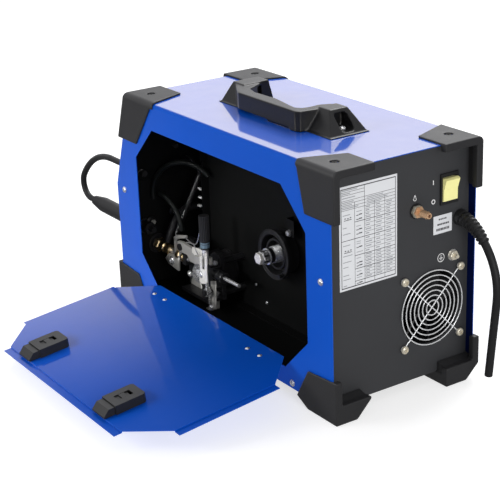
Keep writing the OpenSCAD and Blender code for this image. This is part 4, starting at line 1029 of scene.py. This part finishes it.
def finger_guard():
    """Seven wire rings on two crossed wires, with an eye round each screw."""
    def upright(x, y, z):
        pose = Matrix(((1, 0, 0), (0, 0, 1), (0, 1, 0))).to_4x4()
        pose.translation = Vector((x, y, z)) * MM
        return pose
    wire = 0.95
    bm = bmesh.new()
    for i in range(7):
        add_torus(bm, upright(FAN_X, 287.0, FAN_Z), 57 - 7.6 * i, wire, 96, 10)
    for sx, sz in CORNERS:
        eye = upright(FAN_X + sx * FAN_PITCH, 285.5, FAN_Z + sz * FAN_PITCH)
        add_torus(bm, eye, 4.3, wire, 32, 10)
    guard = finish_mesh("finger_guard", bm, CHROME, smooth=60)
    end = FAN_PITCH - 3.2
    for k, slope in enumerate((1, -1)):
        # offset from the fan's centre, y
        stations = ((-end, 285.4), (-38, 285.6), (0, 285.6), (38, 285.6), (end, 285.4))
        tube("guard_spoke_%d" % k,
             [(FAN_X + d, y, FAN_Z + slope * d) for d, y in stations], 1.0, CHROME)
    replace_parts(guard, "fan_guard")


def boot():
    """Ribbed bend relief along the first curve of the mains cable."""
    x, bend_z = -112, 184
    first_bend, second_bend = 66, 104  # radii of the cable's two arcs
    change = math.radians(37)  # where the second arc takes over
    shift = second_bend - first_bend
    second_y = REAR_Y - shift * math.sin(change)
    second_z = bend_z - shift * math.cos(change)
    length, steps, sides = 60.0, 150, 36
    bm = bmesh.new()

    def ring(along, radius):
        a = along / first_bend
        y, z, bend = REAR_Y, bend_z, first_bend
        if a > change:
            a = change + (along - first_bend * change) / second_bend
            y, z, bend = second_y, second_z, second_bend
        y += bend * math.sin(a)
        z += bend * math.cos(a)
        return [bm.verts.new(Vector((x + radius * math.cos(b),
                                     y + math.sin(a) * radius * math.sin(b),
                                     z + math.cos(a) * radius * math.sin(b))) * MM)
                for b in angles(sides)]

    rings = []
    for i in range(steps + 1):
        along = length * i / steps
        radius = 12.4 - 4.2 * along / length
        if along > 8:  # grooves, 6.4 apart, with soft square shoulders
            wave = math.tanh(6 * math.sin(TURN * (along - 8) / 6.4) + 1.0)
            radius -= 1.7 * (0.5 + 0.5 * wave)
        if i == 0:
            radius = 11.0
        if i == steps:
            radius = 6.9
        rings.append(ring(along, radius))
    for first, second in zip(rings, rings[1:]):
        join_rings(bm, first, second)
    for along, outer in ((0.0, rings[0]), (length, rings[-1])):
        join_rings(bm, outer, ring(along, 6.35))
    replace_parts(finish_mesh("cable_boot", bm, BLACK, smooth=40), "strain_relief")


def rear_fittings():
    hex_nut("gas_lock_nut", [(4.4, 0), (8.4, 0), (9.4, 0.8), (9.4, 5.4), (8.4, 6.4), (4.4, 6.4)],
            (GAS_X, REAR_Y, GAS_Z), ALONG_Y, PALE_BRASS)
    lathe("gas_washer", [(4.4, 0), (11.2, 0), (11.2, 1.2), (4.4, 1.2)],
          (GAS_X, REAR_Y - 0.1, GAS_Z), ALONG_Y, SATIN)
    lathe("ground_washer", [(3, 0), (8.6, 0), (8.6, 1.0), (3, 1.0)],
          (GROUND_X, REAR_Y, GROUND_Z), ALONG_Y, STEEL, sides=32)
    hex_nut("ground_nut", [(3.1, 0), (6.6, 0), (7.6, 0.8), (7.6, 4.6), (6.6, 5.4), (3.1, 5.4)],
            (GROUND_X, REAR_Y + 1, GROUND_Z), ALONG_Y, PALE_BRASS)


# ---------------------------------------------------------------- build
BUILD_ORDER = (
    paint_cad, stage, world, lights, camera, view,
    corners, foot_pads, case_screws,
    label_lines, label_rows, small_label_rows,
    rear_marks, dial_marks, display_segments, lamps,
    handle,
    inlet_clamp, brass_blocks, lower_bracket, gear_cover, pressure_parts, support, edge_glint_bars,
    cables, bay_fittings, hub,
    fan_face, finger_guard, boot, rear_fittings,
)
for build in BUILD_ORDER:
    build()
